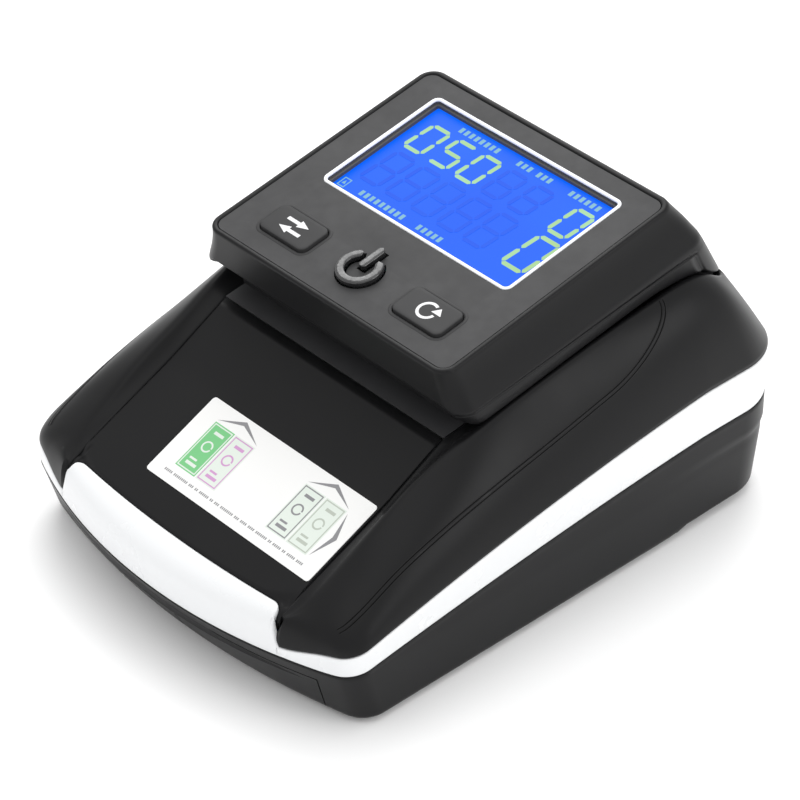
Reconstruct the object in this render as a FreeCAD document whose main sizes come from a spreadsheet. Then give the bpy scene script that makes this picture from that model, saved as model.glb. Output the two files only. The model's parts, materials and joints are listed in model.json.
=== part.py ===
import FreeCAD, Part
import math
import os
import Sketcher
from types import SimpleNamespace
from FreeCAD import Rotation, Vector

# Desk-top counterfeit bill detector.
# Own frame: millimetres, +Z up, the clerk's side faces -Y, +X to the clerk's right.
# The origin lies on the counter, under the middle of the body.

SIZES = {
    # body shells
    "body_width": 128.0,
    "body_depth": 173.0,
    "wall": 2.2,
    "foot_height": 1.5,
    "seam_gap": 0.3,
    "bow_radius": 157.0,
    "base_bow_radius": 230.0,
    "front_corner": 8.0,
    "rear_corner": 18.6,
    "front_rake": 9.0,
    "trim_front_low": 18.5,
    "trim_rear_low": 31.0,
    "trim_front_high": 24.4,
    "trim_rear_high": 45.5,
    "trim_thickness": 2.4,
    "lip_top": 30.6,
    "rib_thickness": 3.2,
    # note throat and feed tray
    "throat_width": 84.8,
    "tray_front": -77.2,
    "tray_front_rise": 31.0,
    "tray_fold": -42.5,
    "tray_fold_rise": 46.6,
    "sheet_thickness": 2.0,
    # note path: a plane that climbs to the back under the head
    "path_front": -23.0,
    "path_rise": 57.3,
    "path_tilt": 8.3,
    "path_length": 87.0,
    "note_gap": 1.2,
    "feed_station": 16.0,
    "exit_station": 66.0,
    "roller_radius": 8.0,
    "roller_width": 8.0,
    "roller_offset": 12.0,
    "roller_proud": 0.3,
    "shaft_radius": 2.0,
    "pinch_radius": 5.0,
    "pinch_shaft_radius": 1.5,
    "running_fit": 0.05,
    "plate_half_span": 38.0,
    "pulley_radius": 4.6,
    "pulley_width": 3.0,
    "belt_thickness": 0.9,
    "motor_radius": 12.0,
    "motor_length": 34.0,
    "motor_pulley_radius": 2.3,
    # head: its frame lies in the rim plane at the middle of the front rim
    "head_width": 92.0,
    "head_length": 82.9,
    "head_front": -26.5,
    "rim_rise": 80.0,
    "panel_tilt": 10.4,
    "head_skirt_depth": 13.0,
    "flank_flare": 4.3,
    "rim_width": 1.6,
    "rim_corner": 4.8,
    "fascia_thickness": 1.2,
    "fascia_sink": 0.3,
    "display_width": 71.2,
    "display_length": 43.5,
    "display_start": 31.8,
    "bezel_width": 1.15,
    "display_ledge": 1.8,
    "glass_sink": 2.6,
    "glass_thickness": 2.0,
    "key_width": 17.6,
    "key_length": 10.4,
    "key_offset": 25.6,
    "key_station": 13.8,
    "key_corner": 2.0,
    "key_gap": 0.3,
    "key_proud": 0.7,
    "power_outer": 6.5,
    "power_inner": 3.9,
    "power_bar": 2.5,
    "power_proud": 1.6,
    "power_bar_end": 8.6,
    "power_gap_angle": 34.0,
    # hinge at the back of the head
    "hinge_station": 66.0,
    "hinge_rise": 67.0,
    "hinge_pin_radius": 1.5,
    "hinge_barrel": 3.2,
    # fittings in the base
    "board_thickness": 1.6,
    "board_rise": 9.0,
    "door_left": 3.0,
    "door_right": 53.0,
    "door_top": 14.0,
    "door_depth": 25.0,
    "foot_radius": 6.0,
    "screw_radius": 1.5,
    "boss_radius": 4.0,
    "boss_half_span": 53.5,
    "boss_front": -34.0,
    "boss_rear": 52.0,
    "split_rise": 30.0,
}

document = FreeCAD.newDocument("BillDetector")
sheet = document.addObject("Spreadsheet::Sheet", "Sizes")
for row, (alias, number) in enumerate(SIZES.items(), start=1):
    sheet.set("A%d" % row, alias)
    sheet.set("B%d" % row, str(number))
    sheet.setAlias("B%d" % row, alias)
document.recompute()


class Size:
    """A number that remembers the spreadsheet formula it came from."""

    def __init__(self, value, text=None):
        self.value = float(value)
        self.text = text or repr(float(value))

    def _join(self, other, sign, value):
        return Size(value, "(%s %s %s)" % (self.text, sign, other.text))

    def __add__(self, other):
        other = as_size(other)
        return self._join(other, "+", self.value + other.value)

    def __sub__(self, other):
        other = as_size(other)
        return self._join(other, "-", self.value - other.value)

    def __mul__(self, other):
        other = as_size(other)
        return self._join(other, "*", self.value * other.value)

    def __truediv__(self, other):
        other = as_size(other)
        return self._join(other, "/", self.value / other.value)

    def __radd__(self, other):
        return as_size(other) + self

    def __rsub__(self, other):
        return as_size(other) - self

    def __rmul__(self, other):
        return as_size(other) * self

    def __neg__(self):
        return as_size(0) - self

    def __float__(self):
        return self.value


def as_size(number):
    """Wrap a plain number, and leave a Size alone."""
    return number if isinstance(number, Size) else Size(number)


def sine(angle):
    return Size(math.sin(math.radians(angle.value)), "sin(%s)" % angle.text)


def cosine(angle):
    return Size(math.cos(math.radians(angle.value)), "cos(%s)" % angle.text)


s = SimpleNamespace(**{alias: Size(getattr(sheet, alias), "Sizes." + alias) for alias in SIZES})
pieces = []


class Frame:
    """A working frame tipped about X, in which a group of pieces is laid out."""

    def __init__(self, start, rise, tilt):
        self.start = as_size(start)
        self.rise = as_size(rise)
        self.tilt = as_size(tilt)

    def spot(self, y, z):
        """World Y and Z of a point of this frame."""
        y, z = as_size(y), as_size(z)
        if self.tilt.value == 0:
            return self.start + y, self.rise + z
        turn_sine, turn_cosine = sine(self.tilt), cosine(self.tilt)
        return (self.start + y * turn_cosine - z * turn_sine,
                self.rise + y * turn_sine + z * turn_cosine)

    def vector(self, x, y, z):
        """World position of a point of this frame."""
        world_y, world_z = self.spot(y, z)
        return Vector(float(x), float(world_y), float(world_z))

    def place(self, item, x, y, z, turn=None):
        """Bind an item's position to the sheet and tip it with the frame."""
        world_y, world_z = self.spot(y, z)
        item.Placement.Rotation = turn or Rotation(Vector(1, 0, 0), self.tilt.value)
        item.setExpression("Placement.Base.x", as_size(x).text)
        item.setExpression("Placement.Base.y", world_y.text)
        item.setExpression("Placement.Base.z", world_z.text)


WORLD = Frame(0, 0, 0)
PATH = Frame(s.path_front, s.path_rise, s.path_tilt)
HEAD = Frame(s.head_front, s.rim_rise, s.panel_tilt)


# ---- building blocks -------------------------------------------------------------------------

def box(name, frame, x_span, y_span, z_span):
    """Block between two limits on each axis of a frame."""
    block = document.addObject("Part::Box", name)
    for side, (low, high) in zip(("Length", "Width", "Height"), (x_span, y_span, z_span)):
        block.setExpression(side, (as_size(high) - low).text)
    frame.place(block, x_span[0], y_span[0], z_span[0])
    return block


def rod(name, frame, axis, centre, radius, span):
    """Round bar along one axis of a frame, between two limits on that axis."""
    bar = document.addObject("Part::Cylinder", name)
    bar.setExpression("Radius", as_size(radius).text)
    bar.setExpression("Height", (as_size(span[1]) - span[0]).text)
    if axis == "x":
        frame.place(bar, span[0], centre[0], centre[1], Rotation(Vector(0, 1, 0), 90))
    elif axis == "y":
        turn = Rotation(Vector(1, 0, 0), frame.tilt.value - 90)
        frame.place(bar, centre[0], span[0], centre[1], turn)
    else:
        frame.place(bar, centre[0], centre[1], span[0])
    return bar


def cut(name, base, *tools):
    """Base less every tool."""
    remaining = base
    for number, tool in enumerate(tools, start=1):
        step = document.addObject("Part::Cut", name if number == len(tools) else name + "_cut")
        step.Base = remaining
        step.Tool = tool
        remaining = step
    return remaining


def fuse(name, *solids):
    """Union of several solids."""
    union = document.addObject("Part::MultiFuse", name)
    union.Shapes = list(solids)
    return union


def plate(name, frame, plane, outline, span):
    """Straight-sided plate: a sketched outline padded square to its plane of the frame.

    A "YZ_Plane" outline lists (y, z) corners and is padded along X.
    An "XY_Plane" outline lists (x, y) corners and is padded along Z.
    """
    body = document.addObject("PartDesign::Body", name)
    sketch = body.newObject("Sketcher::SketchObject", name + "_outline")
    support = next(item for item in body.Origin.OriginFeatures if item.Role == plane)
    sketch.AttachmentSupport = (support, [""])
    sketch.MapMode = "FlatFace"
    corners = [(as_size(across), as_size(up)) for across, up in outline]
    points = [Vector(across.value, up.value, 0) for across, up in corners]
    for number, point in enumerate(points):
        sketch.addGeometry(Part.LineSegment(point, points[(number + 1) % len(points)]))
    for number in range(len(points)):
        following = (number + 1) % len(points)
        sketch.addConstraint(Sketcher.Constraint("Coincident", number, 2, following, 1))
    for number, (across, up) in enumerate(corners):
        for kind, value in (("DistanceX", across), ("DistanceY", up)):
            place = sketch.addConstraint(Sketcher.Constraint(kind, -1, 1, number, 1, value.value))
            sketch.setExpression("Constraints[%d]" % place, value.text)
    pad = body.newObject("PartDesign::Pad", name + "_pad")
    pad.Profile = sketch
    pad.setExpression("Length", (as_size(span[1]) - span[0]).text)
    if plane == "YZ_Plane":
        frame.place(body, span[0], 0, 0)
    else:
        frame.place(body, 0, 0, span[0])
    return body


def formed(name, shape):
    """Feature for a moulded form that no sketch or primitive makes."""
    feature = document.addObject("Part::Feature", name)
    feature.Shape = shape
    return feature


def piece(item, label):
    """Register a finished sub-part under its node name."""
    item.Label = label
    pieces.append(item)
    return item


# ---- outlines of the moulded shells ------------------------------------------------------------

HALF_WIDTH = s.body_width.value / 2
FRONT = -s.body_depth.value / 2
REAR = s.body_depth.value / 2
WALL = s.wall.value
THROAT = s.throat_width.value / 2
BOW_CENTRE = FRONT + s.bow_radius.value
ABOVE_ALL = 130.0
BELOW_ALL = -5.0
PAST_ENDS = 100.0


def plan_outline(rise, half_width, front, rear, bow, front_corner, rear_corner):
    """Level outline: bowed front, straight sides, straight back, four round corners."""
    bow_centre = front + bow
    corner_x = half_width - front_corner
    corner_y = bow_centre - math.sqrt((bow - front_corner) ** 2 - corner_x ** 2)
    reach = bow / (bow - front_corner)
    bow_end = Vector(corner_x * reach, bow_centre + (corner_y - bow_centre) * reach, rise)
    bisector = Vector(bow_end.x - corner_x + front_corner, bow_end.y - corner_y, 0).normalize()
    corner_middle = Vector(corner_x, corner_y, rise) + bisector * front_corner
    back_x, back_y = half_width - rear_corner, rear - rear_corner
    diagonal = rear_corner * math.sqrt(0.5)

    def left(point):
        return Vector(-point.x, point.y, point.z)

    side_front = Vector(half_width, corner_y, rise)
    side_back = Vector(half_width, back_y, rise)
    back_middle = Vector(back_x + diagonal, back_y + diagonal, rise)
    back_end = Vector(back_x, rear, rise)
    edges = [
        Part.Arc(left(bow_end), Vector(0, front, rise), bow_end).toShape(),
        Part.Arc(bow_end, corner_middle, side_front).toShape(),
        Part.LineSegment(side_front, side_back).toShape(),
        Part.Arc(side_back, back_middle, back_end).toShape(),
        Part.LineSegment(back_end, left(back_end)).toShape(),
        Part.Arc(left(back_end), left(back_middle), left(side_back)).toShape(),
        Part.LineSegment(left(side_back), left(side_front)).toShape(),
        Part.Arc(left(side_front), left(corner_middle), left(bow_end)).toShape(),
    ]
    return Part.Wire(edges)


def body_outline(rise, inset):
    """Outline of the body at its widest, moved in by an inset."""
    return plan_outline(rise, HALF_WIDTH - inset, FRONT + inset, REAR - inset,
                        s.bow_radius.value - inset, s.front_corner.value - inset,
                        s.rear_corner.value - inset)


def upright(inset, low, high):
    """Straight-walled block on the body outline."""
    return Part.Face(body_outline(low, inset)).extrude(Vector(0, 0, high - low))


SIDE_RAKE = 0.6
REAR_RAKE = 3.0


def base_hull(inset):
    """Tub that narrows towards the counter, most of all at the front."""
    floor = s.foot_height.value + inset
    foot_outline = plan_outline(floor, HALF_WIDTH - SIDE_RAKE - inset,
                                FRONT + s.front_rake.value + inset, REAR - REAR_RAKE - inset,
                                s.base_bow_radius.value, s.front_corner.value - inset,
                                s.rear_corner.value - REAR_RAKE - inset)
    waist = s.trim_front_low.value
    tub = Part.makeLoft([foot_outline, body_outline(waist, inset)], True, True)
    return tub.fuse(upright(inset, waist, s.trim_rear_high.value)).removeSplitter()


def slab(start, steps, half_span):
    """Block of a side outline; a step is a point, or an arc's middle and end."""
    def spot(pair):
        return Vector(-half_span, pair[0], pair[1])

    edges = []
    here = start
    for step in steps:
        if isinstance(step[0], tuple):
            edges.append(Part.Arc(spot(here), spot(step[0]), spot(step[1])).toShape())
            here = step[1]
        else:
            edges.append(Part.LineSegment(spot(here), spot(step)).toShape())
            here = step
    edges.append(Part.LineSegment(spot(here), spot(start)).toShape())
    return Part.Face(Part.Wire(edges)).extrude(Vector(2 * half_span, 0, 0))


CLIMB_START, CLIMB_MIDDLE, CLIMB_END = -76.0, -14.0, 52.0
CLIMB_SHARE = 0.6


def below_seam(front_rise, rear_rise):
    """Everything under a seam that is level at the front, then climbs in one long arc."""
    middle_rise = front_rise + CLIMB_SHARE * (rear_rise - front_rise)
    return slab((-PAST_ENDS, front_rise),
                [(CLIMB_START, front_rise),
                 ((CLIMB_MIDDLE, middle_rise), (CLIMB_END, rear_rise)),
                 (PAST_ENDS, rear_rise),
                 (PAST_ENDS, BELOW_ALL),
                 (-PAST_ENDS, BELOW_ALL)], PAST_ENDS)


def nose(inset, foot, shoulder, top):
    """Disc with a rounded rim that follows the bowed front; points are (radius, rise)."""
    def spot(pair):
        return Vector(pair[0] - inset, BOW_CENTRE, pair[1])

    axis_foot = Vector(0, BOW_CENTRE, BELOW_ALL)
    axis_top = Vector(0, BOW_CENTRE, ABOVE_ALL)
    brim = Vector(top[0] - inset, BOW_CENTRE, ABOVE_ALL)
    skirt = Vector(foot[0] - inset, BOW_CENTRE, BELOW_ALL)
    edges = [
        Part.LineSegment(axis_foot, skirt).toShape(),
        Part.LineSegment(skirt, spot(foot)).toShape(),
        Part.Arc(spot(foot), spot(shoulder), spot(top)).toShape(),
        Part.LineSegment(spot(top), brim).toShape(),
        Part.LineSegment(brim, axis_top).toShape(),
        Part.LineSegment(axis_top, axis_foot).toShape(),
    ]
    return Part.Face(Part.Wire(edges)).revolve(axis_foot, Vector(0, 0, 1), 360)


# Cross-sections of the upper shell from front to back: station, rise where the side wall
# starts to curve in, rise of the shoulder, half width of the crest, rise of the crest.
SHELL_SECTIONS = [
    (-92, 20.0, 22.5, 47.0, 23.0),
    (-74, 24.0, 30.2, 47.0, 31.3),
    (-53, 29.0, 40.2, 47.0, 45.3),
    (-36, 32.5, 45.4, 47.0, 53.7),
    (-21, 35.0, 49.0, 49.0, 60.6),
    (0, 38.5, 53.6, 50.6, 65.7),
    (22, 41.6, 58.4, 50.6, 69.3),
    (44, 44.0, 62.2, 50.6, 71.4),
    (58, 45.0, 63.5, 50.0, 72.0),
    (72, 45.5, 63.0, 48.5, 69.5),
    (90, 45.5, 60.0, 46.0, 65.0),
]
SHOULDER_HALF_WIDTH = 58.7
SECTION_OVERLAP = 0.6
# The prow's side outline: foot, shoulder and top, each how far in from the bow and how high.
PROW = ((-1.0, 18.5), (1.0, 27.0), (9.0, 34.0))
# The back's side outline: how far in from the rear and how high.
BACK = ((0.0, 44.0), (6.5, 57.5), (15.0, 70.0))


def shell_section(station, wall_rise, shoulder_rise, crest_x, crest_rise, inset):
    """One cross-section of the upper shell, square to Y."""
    def spot(x, z):
        return Vector(x, station, z)

    side = HALF_WIDTH + SECTION_OVERLAP - inset
    shoulder = SHOULDER_HALF_WIDTH - 0.8 * inset
    shoulder_z = shoulder_rise - 0.6 * inset
    crest = crest_x - 0.3 * inset
    crest_z = crest_rise - inset
    foot = s.foot_height.value + WALL
    edges = [
        Part.LineSegment(spot(-side, foot), spot(side, foot)).toShape(),
        Part.LineSegment(spot(side, foot), spot(side, wall_rise)).toShape(),
        Part.Arc(spot(side, wall_rise), spot(shoulder, shoulder_z), spot(crest, crest_z)).toShape(),
        Part.LineSegment(spot(crest, crest_z), spot(-crest, crest_z)).toShape(),
        Part.Arc(spot(-crest, crest_z), spot(-shoulder, shoulder_z), spot(-side, wall_rise)).toShape(),
        Part.LineSegment(spot(-side, wall_rise), spot(-side, foot)).toShape(),
    ]
    return Part.Wire(edges)


def shell_form(inset):
    """Outer form of the upper shell before the throat is taken out."""
    arms = Part.makeLoft([shell_section(*row, inset) for row in SHELL_SECTIONS], True, False)
    prow = nose(inset, *[(s.bow_radius.value - depth, rise) for depth, rise in PROW])
    wall, bend, top = [(REAR - depth - inset, rise) for depth, rise in BACK]
    back = slab((-PAST_ENDS, BELOW_ALL),
                [(wall[0], BELOW_ALL), wall, (bend, top), (top[0], ABOVE_ALL),
                 (-PAST_ENDS, ABOVE_ALL)], PAST_ENDS)
    block = upright(inset, s.foot_height.value, ABOVE_ALL)
    return arms.common(block).common(prow).common(back)


def block(x_span, y_span, z_span):
    """Plain block between two limits on each axis, for shaping the mouldings."""
    corner = Vector(x_span[0], y_span[0], z_span[0])
    return Part.makeBox(x_span[1] - x_span[0], y_span[1] - y_span[0], z_span[1] - z_span[0], corner)


def path_rise_at(y):
    """Rise of the note path's plane at a world Y."""
    slope = math.tan(math.radians(s.path_tilt.value))
    return s.path_rise.value + (y - s.path_front.value) * slope


def tray_rise_at(y):
    """Rise of the feed tray's floor at a world Y in front of the fold."""
    run = s.tray_fold.value - s.tray_front.value
    slope = (s.tray_fold_rise.value - s.tray_front_rise.value) / run
    return s.tray_front_rise.value + (y - s.tray_front.value) * slope


THROAT_FLARE, FLARE_RISE = 19.6, 16.0


def throat_space():
    """Space over the feed tray and note path, with sides that flare outwards."""
    wide = THROAT + THROAT_FLARE
    stations = [
        (-PAST_ENDS, tray_rise_at(-PAST_ENDS)),
        (s.tray_fold.value, s.tray_fold_rise.value),
        (s.path_front.value, s.path_rise.value),
        (PAST_ENDS, path_rise_at(PAST_ENDS)),
    ]
    wires = []
    for y, rise in stations:
        corners = [(-THROAT, rise), (THROAT, rise), (wide, rise + FLARE_RISE),
                   (wide, ABOVE_ALL), (-wide, ABOVE_ALL), (-wide, rise + FLARE_RISE)]
        wires.append(Part.makePolygon([Vector(x, y, z) for x, z in corners + corners[:1]]))
    return Part.makeLoft(wires, True, True)


# Room round the hinge lugs.
KNUCKLE_ROOM_END = 50.9
KNUCKLE_SPARE = 0.8
KNUCKLE_FRONT, KNUCKLE_REAR = 14.0, 8.0
SWING_FRONT, SWING_DROP = 2.0, 0.4
RIB_DROP = 8.0
BOSS_SPOTS = [(side * s.boss_half_span.value, y)
              for side in (-1, 1) for y in (s.boss_front.value, s.boss_rear.value)]
FLOOR = s.foot_height.value + WALL
# Screw bosses of the base: outer radius, radius of the well for the screw's head, clearance hole.
BASE_BOSS, BOSS_WELL, BOSS_HOLE = 5.0, 3.3, 1.7
PILOT_HOLE = 1.55
SCREW_HEAD_LOW, SCREW_HEAD_TOP, SCREW_HEAD_RADIUS = 4.0, 6.0, 3.0
SCREW_BITE = 6.0
SOCKET_RISE, SOCKET_HOLE = 14.6, 3.4
SOCKET_X = 28.5
PORT_X = -27.0
PORT_HALF_HOLE, PORT_LOW, PORT_TOP = 4.8, 10.9, 14.7
REAR_WALL = (REAR - 8.0, REAR + 4.0)
STANDOFFS = [(x, y) for x in (-40, 40) for y in (6, 74)]
STANDOFF_RADIUS = 3.0


def upright_rod(x, y, radius, low, high):
    return Part.makeCylinder(radius, high - low, Vector(x, y, low))


def door_block(gap):
    """Block that bounds the battery door, grown by a gap."""
    return block((s.door_left.value - gap, s.door_right.value + gap),
                 (-PAST_ENDS, FRONT + s.front_rake.value + s.door_depth.value + gap),
                 (BELOW_ALL, s.door_top.value + gap))


def make_lower_shell():
    form = base_hull(0).cut(base_hull(WALL))
    form = form.common(below_seam(s.trim_front_low.value - s.seam_gap.value,
                                  s.trim_rear_low.value - s.seam_gap.value))
    form = form.cut(door_block(s.seam_gap.value))
    for x, y in BOSS_SPOTS:
        form = form.fuse(upright_rod(x, y, BASE_BOSS, s.foot_height.value, s.split_rise.value))
        form = form.cut(upright_rod(x, y, BOSS_WELL, 0, SCREW_HEAD_TOP))
        form = form.cut(upright_rod(x, y, BOSS_HOLE, 0, s.split_rise.value + 1))
    for x, y in STANDOFFS:
        form = form.fuse(upright_rod(x, y, STANDOFF_RADIUS, s.foot_height.value, s.board_rise.value))
    socket = Part.makeCylinder(SOCKET_HOLE, REAR_WALL[1] - REAR_WALL[0],
                               Vector(SOCKET_X, REAR_WALL[0], SOCKET_RISE), Vector(0, 1, 0))
    port = block((PORT_X - PORT_HALF_HOLE, PORT_X + PORT_HALF_HOLE), REAR_WALL, (PORT_LOW, PORT_TOP))
    form = form.cut(socket).cut(port)
    return formed("lower_shell", form)


def make_battery_door():
    form = base_hull(0).cut(base_hull(WALL)).common(door_block(0))
    return formed("battery_door", form)


LIP_SECTIONS = 8
LIP_SHOULDER_IN, LIP_SHOULDER_UP = 0.28, 0.62
LIP_INSET = 0.05


def tray_lip():
    """Rounded lip that rises from the bowed front to the straight front edge of the tray."""
    half = THROAT - s.seam_gap.value
    low, top, back = s.trim_front_low.value, s.lip_top.value, s.tray_front.value
    wires = []
    for number in range(LIP_SECTIONS + 1):
        x = half * (2 * number / LIP_SECTIONS - 1)
        front = BOW_CENTRE - math.sqrt(s.bow_radius.value ** 2 - x ** 2) + LIP_INSET
        depth = back - front
        shoulder = Vector(x, front + LIP_SHOULDER_IN * depth, low + LIP_SHOULDER_UP * (top - low))
        wires.append(Part.Wire([
            Part.Arc(Vector(x, front, low), shoulder, Vector(x, back, top)).toShape(),
            Part.LineSegment(Vector(x, back, top), Vector(x, back, low)).toShape(),
            Part.LineSegment(Vector(x, back, low), Vector(x, front, low)).toShape(),
        ]))
    return Part.makeLoft(wires, True, False)


def make_trim_band():
    band = below_seam(s.trim_front_high.value, s.trim_rear_high.value)
    band = band.cut(below_seam(s.trim_front_low.value, s.trim_rear_low.value))
    walls = upright(0, s.foot_height.value, ABOVE_ALL)
    walls = walls.cut(upright(s.trim_thickness.value, 0, ABOVE_ALL))
    return formed("trim_band", band.common(walls).fuse(tray_lip()).removeSplitter())


def make_upper_shell():
    outer = shell_form(0)
    form = outer.cut(shell_form(s.trim_thickness.value))
    for side in (-1, 1):
        limits = sorted((side * THROAT, side * (THROAT + s.rib_thickness.value)))
        rib = block(limits, (-PAST_ENDS, PAST_ENDS), (s.split_rise.value - RIB_DROP, ABOVE_ALL))
        form = form.fuse(outer.common(rib))
    for x, y in BOSS_SPOTS:
        post = upright_rod(x, y, s.boss_radius.value, s.split_rise.value, ABOVE_ALL)
        form = form.fuse(post.common(outer))
        form = form.cut(upright_rod(x, y, PILOT_HOLE, 0, s.split_rise.value + RIB_DROP))
    form = form.cut(throat_space())
    path_end = PATH.vector(0, s.path_length, 0).y
    form = form.cut(block((-THROAT, THROAT), (-PAST_ENDS, path_end + 0.5), (0, ABOVE_ALL)))
    form = form.cut(below_seam(s.trim_front_high.value, s.trim_rear_high.value))
    for side in (-1, 1):
        form = cut_hinge_room(form, side)
    return formed("upper_shell", form)


def cut_hinge_room(form, side):
    """Room for one hinge lug to swing in, and the bore its pin is pressed into."""
    hinge_y, hinge_z = s.hinge_station.value, s.hinge_rise.value
    room_low = hinge_z - s.hinge_barrel.value - KNUCKLE_SPARE
    limits = sorted((side * (THROAT + s.rib_thickness.value + 0.2), side * KNUCKLE_ROOM_END))
    form = form.cut(block(limits, (hinge_y - KNUCKLE_FRONT, hinge_y + KNUCKLE_REAR), (room_low, ABOVE_ALL)))
    left_end = min(side * (THROAT - 1), side * KNUCKLE_ROOM_END)
    across = KNUCKLE_ROOM_END - THROAT + 1

    def hinge_rod(radius):
        return Part.makeCylinder(radius, across, Vector(left_end, hinge_y, hinge_z), Vector(1, 0, 0))

    swing = block((left_end, left_end + across), (hinge_y - SWING_FRONT, hinge_y + KNUCKLE_REAR),
                  (hinge_z - SWING_DROP, ABOVE_ALL))
    form = form.cut(swing.cut(hinge_rod(s.hinge_barrel.value)))
    return form.cut(hinge_rod(s.hinge_pin_radius.value + s.running_fit.value))


# ---- body: tray, note path and drive -------------------------------------------------------------

def make_feed_tray():
    thick = s.sheet_thickness
    front, fold = s.tray_front + 0.3, s.tray_fold
    outline = [(front, s.tray_front_rise), (fold, s.tray_fold_rise),
               (s.path_front - 0.3, s.path_rise), (s.path_front - 0.3, s.path_rise - thick),
               (fold + 0.6, s.tray_fold_rise - thick), (front, s.tray_front_rise - thick)]
    return plate("feed_tray", WORLD, "YZ_Plane", outline, (-s.throat_width / 2, s.throat_width / 2))


LABEL_X, LABEL_ALONG, LABEL_THICKNESS = (-22.0, 41.5), (11.0, 36.0), 0.15


def make_tray_label():
    """Thin label that lies on the sloping floor of the tray."""
    run = s.tray_fold.value - s.tray_front.value
    slope = math.degrees(math.atan2(s.tray_fold_rise.value - s.tray_front_rise.value, run))
    floor = Frame(s.tray_front, s.tray_front_rise, slope)
    return box("tray_label", floor, LABEL_X, LABEL_ALONG, (0, LABEL_THICKNESS))


ROLLER_SIDES = (("left", -1), ("right", 1))
AXLES = (("feed", s.feed_station), ("exit", s.exit_station))
AXLE_DEPTH = s.roller_proud - s.roller_radius
PINCH_RISE = 2 * s.roller_proud + s.pinch_radius
SENSOR_STATION, SENSOR_HALF_WIDTH, SENSOR_HALF_LENGTH = 30.0, 30.0, 3.0
SENSOR_BOARD_HALF_WIDTH, SENSOR_BOARD_HALF_LENGTH = 34.0, 5.0
MAGNET_STATION, MAGNET_HALF_WIDTH, MAGNET_HALF_LENGTH = 43.0, 8.0, 4.0
WINDOW_GAP = 0.2
ROLLER_SIDE_GAP = 0.6
BORE_OVERRUN = 1.0


def around(middle, half):
    """Limits either side of a middle."""
    return (middle - half, middle + half)


def side_limits(side, inner, outer):
    """X limits between two distances from the middle, on one side."""
    return (inner, outer) if side > 0 else (-outer, -inner)


def overrun(limits):
    """Limits that reach a little past both ends, for a bore."""
    return (limits[0] - BORE_OVERRUN, limits[1] + BORE_OVERRUN)


def roller_limits(side, spare=0.0):
    """X limits of a roller, with spare width at each end."""
    middle = s.roller_offset * side
    half = s.roller_width / 2 + spare
    return (middle - half, middle + half)


def make_note_guide():
    thick = s.sheet_thickness
    half = s.throat_width / 2
    base = box("note_guide_sheet", PATH, (-half, half), (0, s.path_length), (-thick, 0))
    through = overrun((-thick, 0))
    tools = []
    for axle, station in AXLES:
        for label, side in ROLLER_SIDES:
            reach = s.roller_radius * 0.75
            tools.append(box("guide_window_%s_%s" % (axle, label), PATH,
                             roller_limits(side, ROLLER_SIDE_GAP), around(station, reach), through))
    tools.append(box("guide_sensor_window", PATH, around(0, SENSOR_HALF_WIDTH + WINDOW_GAP),
                     around(SENSOR_STATION, SENSOR_HALF_LENGTH + WINDOW_GAP), through))
    tools.append(box("guide_magnet_window", PATH, around(0, MAGNET_HALF_WIDTH + WINDOW_GAP),
                     around(MAGNET_STATION, MAGNET_HALF_LENGTH + WINDOW_GAP), through))
    return cut("note_guide", base, *tools)


PLATE_INNER = s.plate_half_span - 2
BUSH_RADIUS = 4.0


def make_side_plate(label, side, outline, bores):
    limits = side_limits(side, PLATE_INNER, s.plate_half_span)
    sheet_metal = plate(label + "_sheet", PATH, "YZ_Plane", outline, limits)
    tools = [rod("%s_bore_%d" % (label, number), PATH, "x", centre, radius, overrun(limits))
             for number, (centre, radius) in enumerate(bores)]
    return cut(label, sheet_metal, *tools)


def axle_centre(station):
    return (station, AXLE_DEPTH)


MOTOR_CENTRE = (32.0, -27.0)
MOTOR_SHAFT_RADIUS, MOTOR_NOSE_RADIUS = 1.0, 3.0
PLATE_START, PLATE_END, PLATE_FOOT = 4.0, 80.0, -16.0


def make_side_plates():
    """The left plate is a strip; the right one reaches down to hold the motor."""
    under = -s.sheet_thickness
    shaft_bores = [(axle_centre(station), BUSH_RADIUS) for axle, station in AXLES]
    left = [(PLATE_START, under), (PLATE_END, under), (PLATE_END, PLATE_FOOT), (PLATE_START, PLATE_FOOT)]
    motor_y, motor_z = MOTOR_CENTRE
    motor_foot = motor_z - 14
    right = left[:3] + [(motor_y + 18, PLATE_FOOT), (motor_y + 14, motor_foot),
                        (motor_y - 14, motor_foot), (motor_y - 18, PLATE_FOOT)] + left[3:]
    piece(make_side_plate("left_side_plate", -1, left, shaft_bores), "left_side_plate")
    motor_bores = [(MOTOR_CENTRE, MOTOR_NOSE_RADIUS)]
    piece(make_side_plate("right_side_plate", 1, right, shaft_bores + motor_bores), "right_side_plate")


def make_shaft_bush(label, side, station):
    limits = side_limits(side, PLATE_INNER, s.plate_half_span)
    ring = rod(label + "_ring", PATH, "x", axle_centre(station), BUSH_RADIUS, limits)
    bore = rod(label + "_bore", PATH, "x", axle_centre(station), s.shaft_radius + s.running_fit,
               overrun(limits))
    return cut(label, ring, bore)


def make_roller(label, centre, radius, bore_radius, limits):
    """Rubber sleeve on a shaft."""
    sleeve = rod(label + "_sleeve", PATH, "x", centre, radius, limits)
    bore = rod(label + "_bore", PATH, "x", centre, bore_radius, overrun(limits))
    return cut(label, sleeve, bore)


FLANGE_REACH, FLANGE_THICKNESS = 0.7, 0.3


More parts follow.
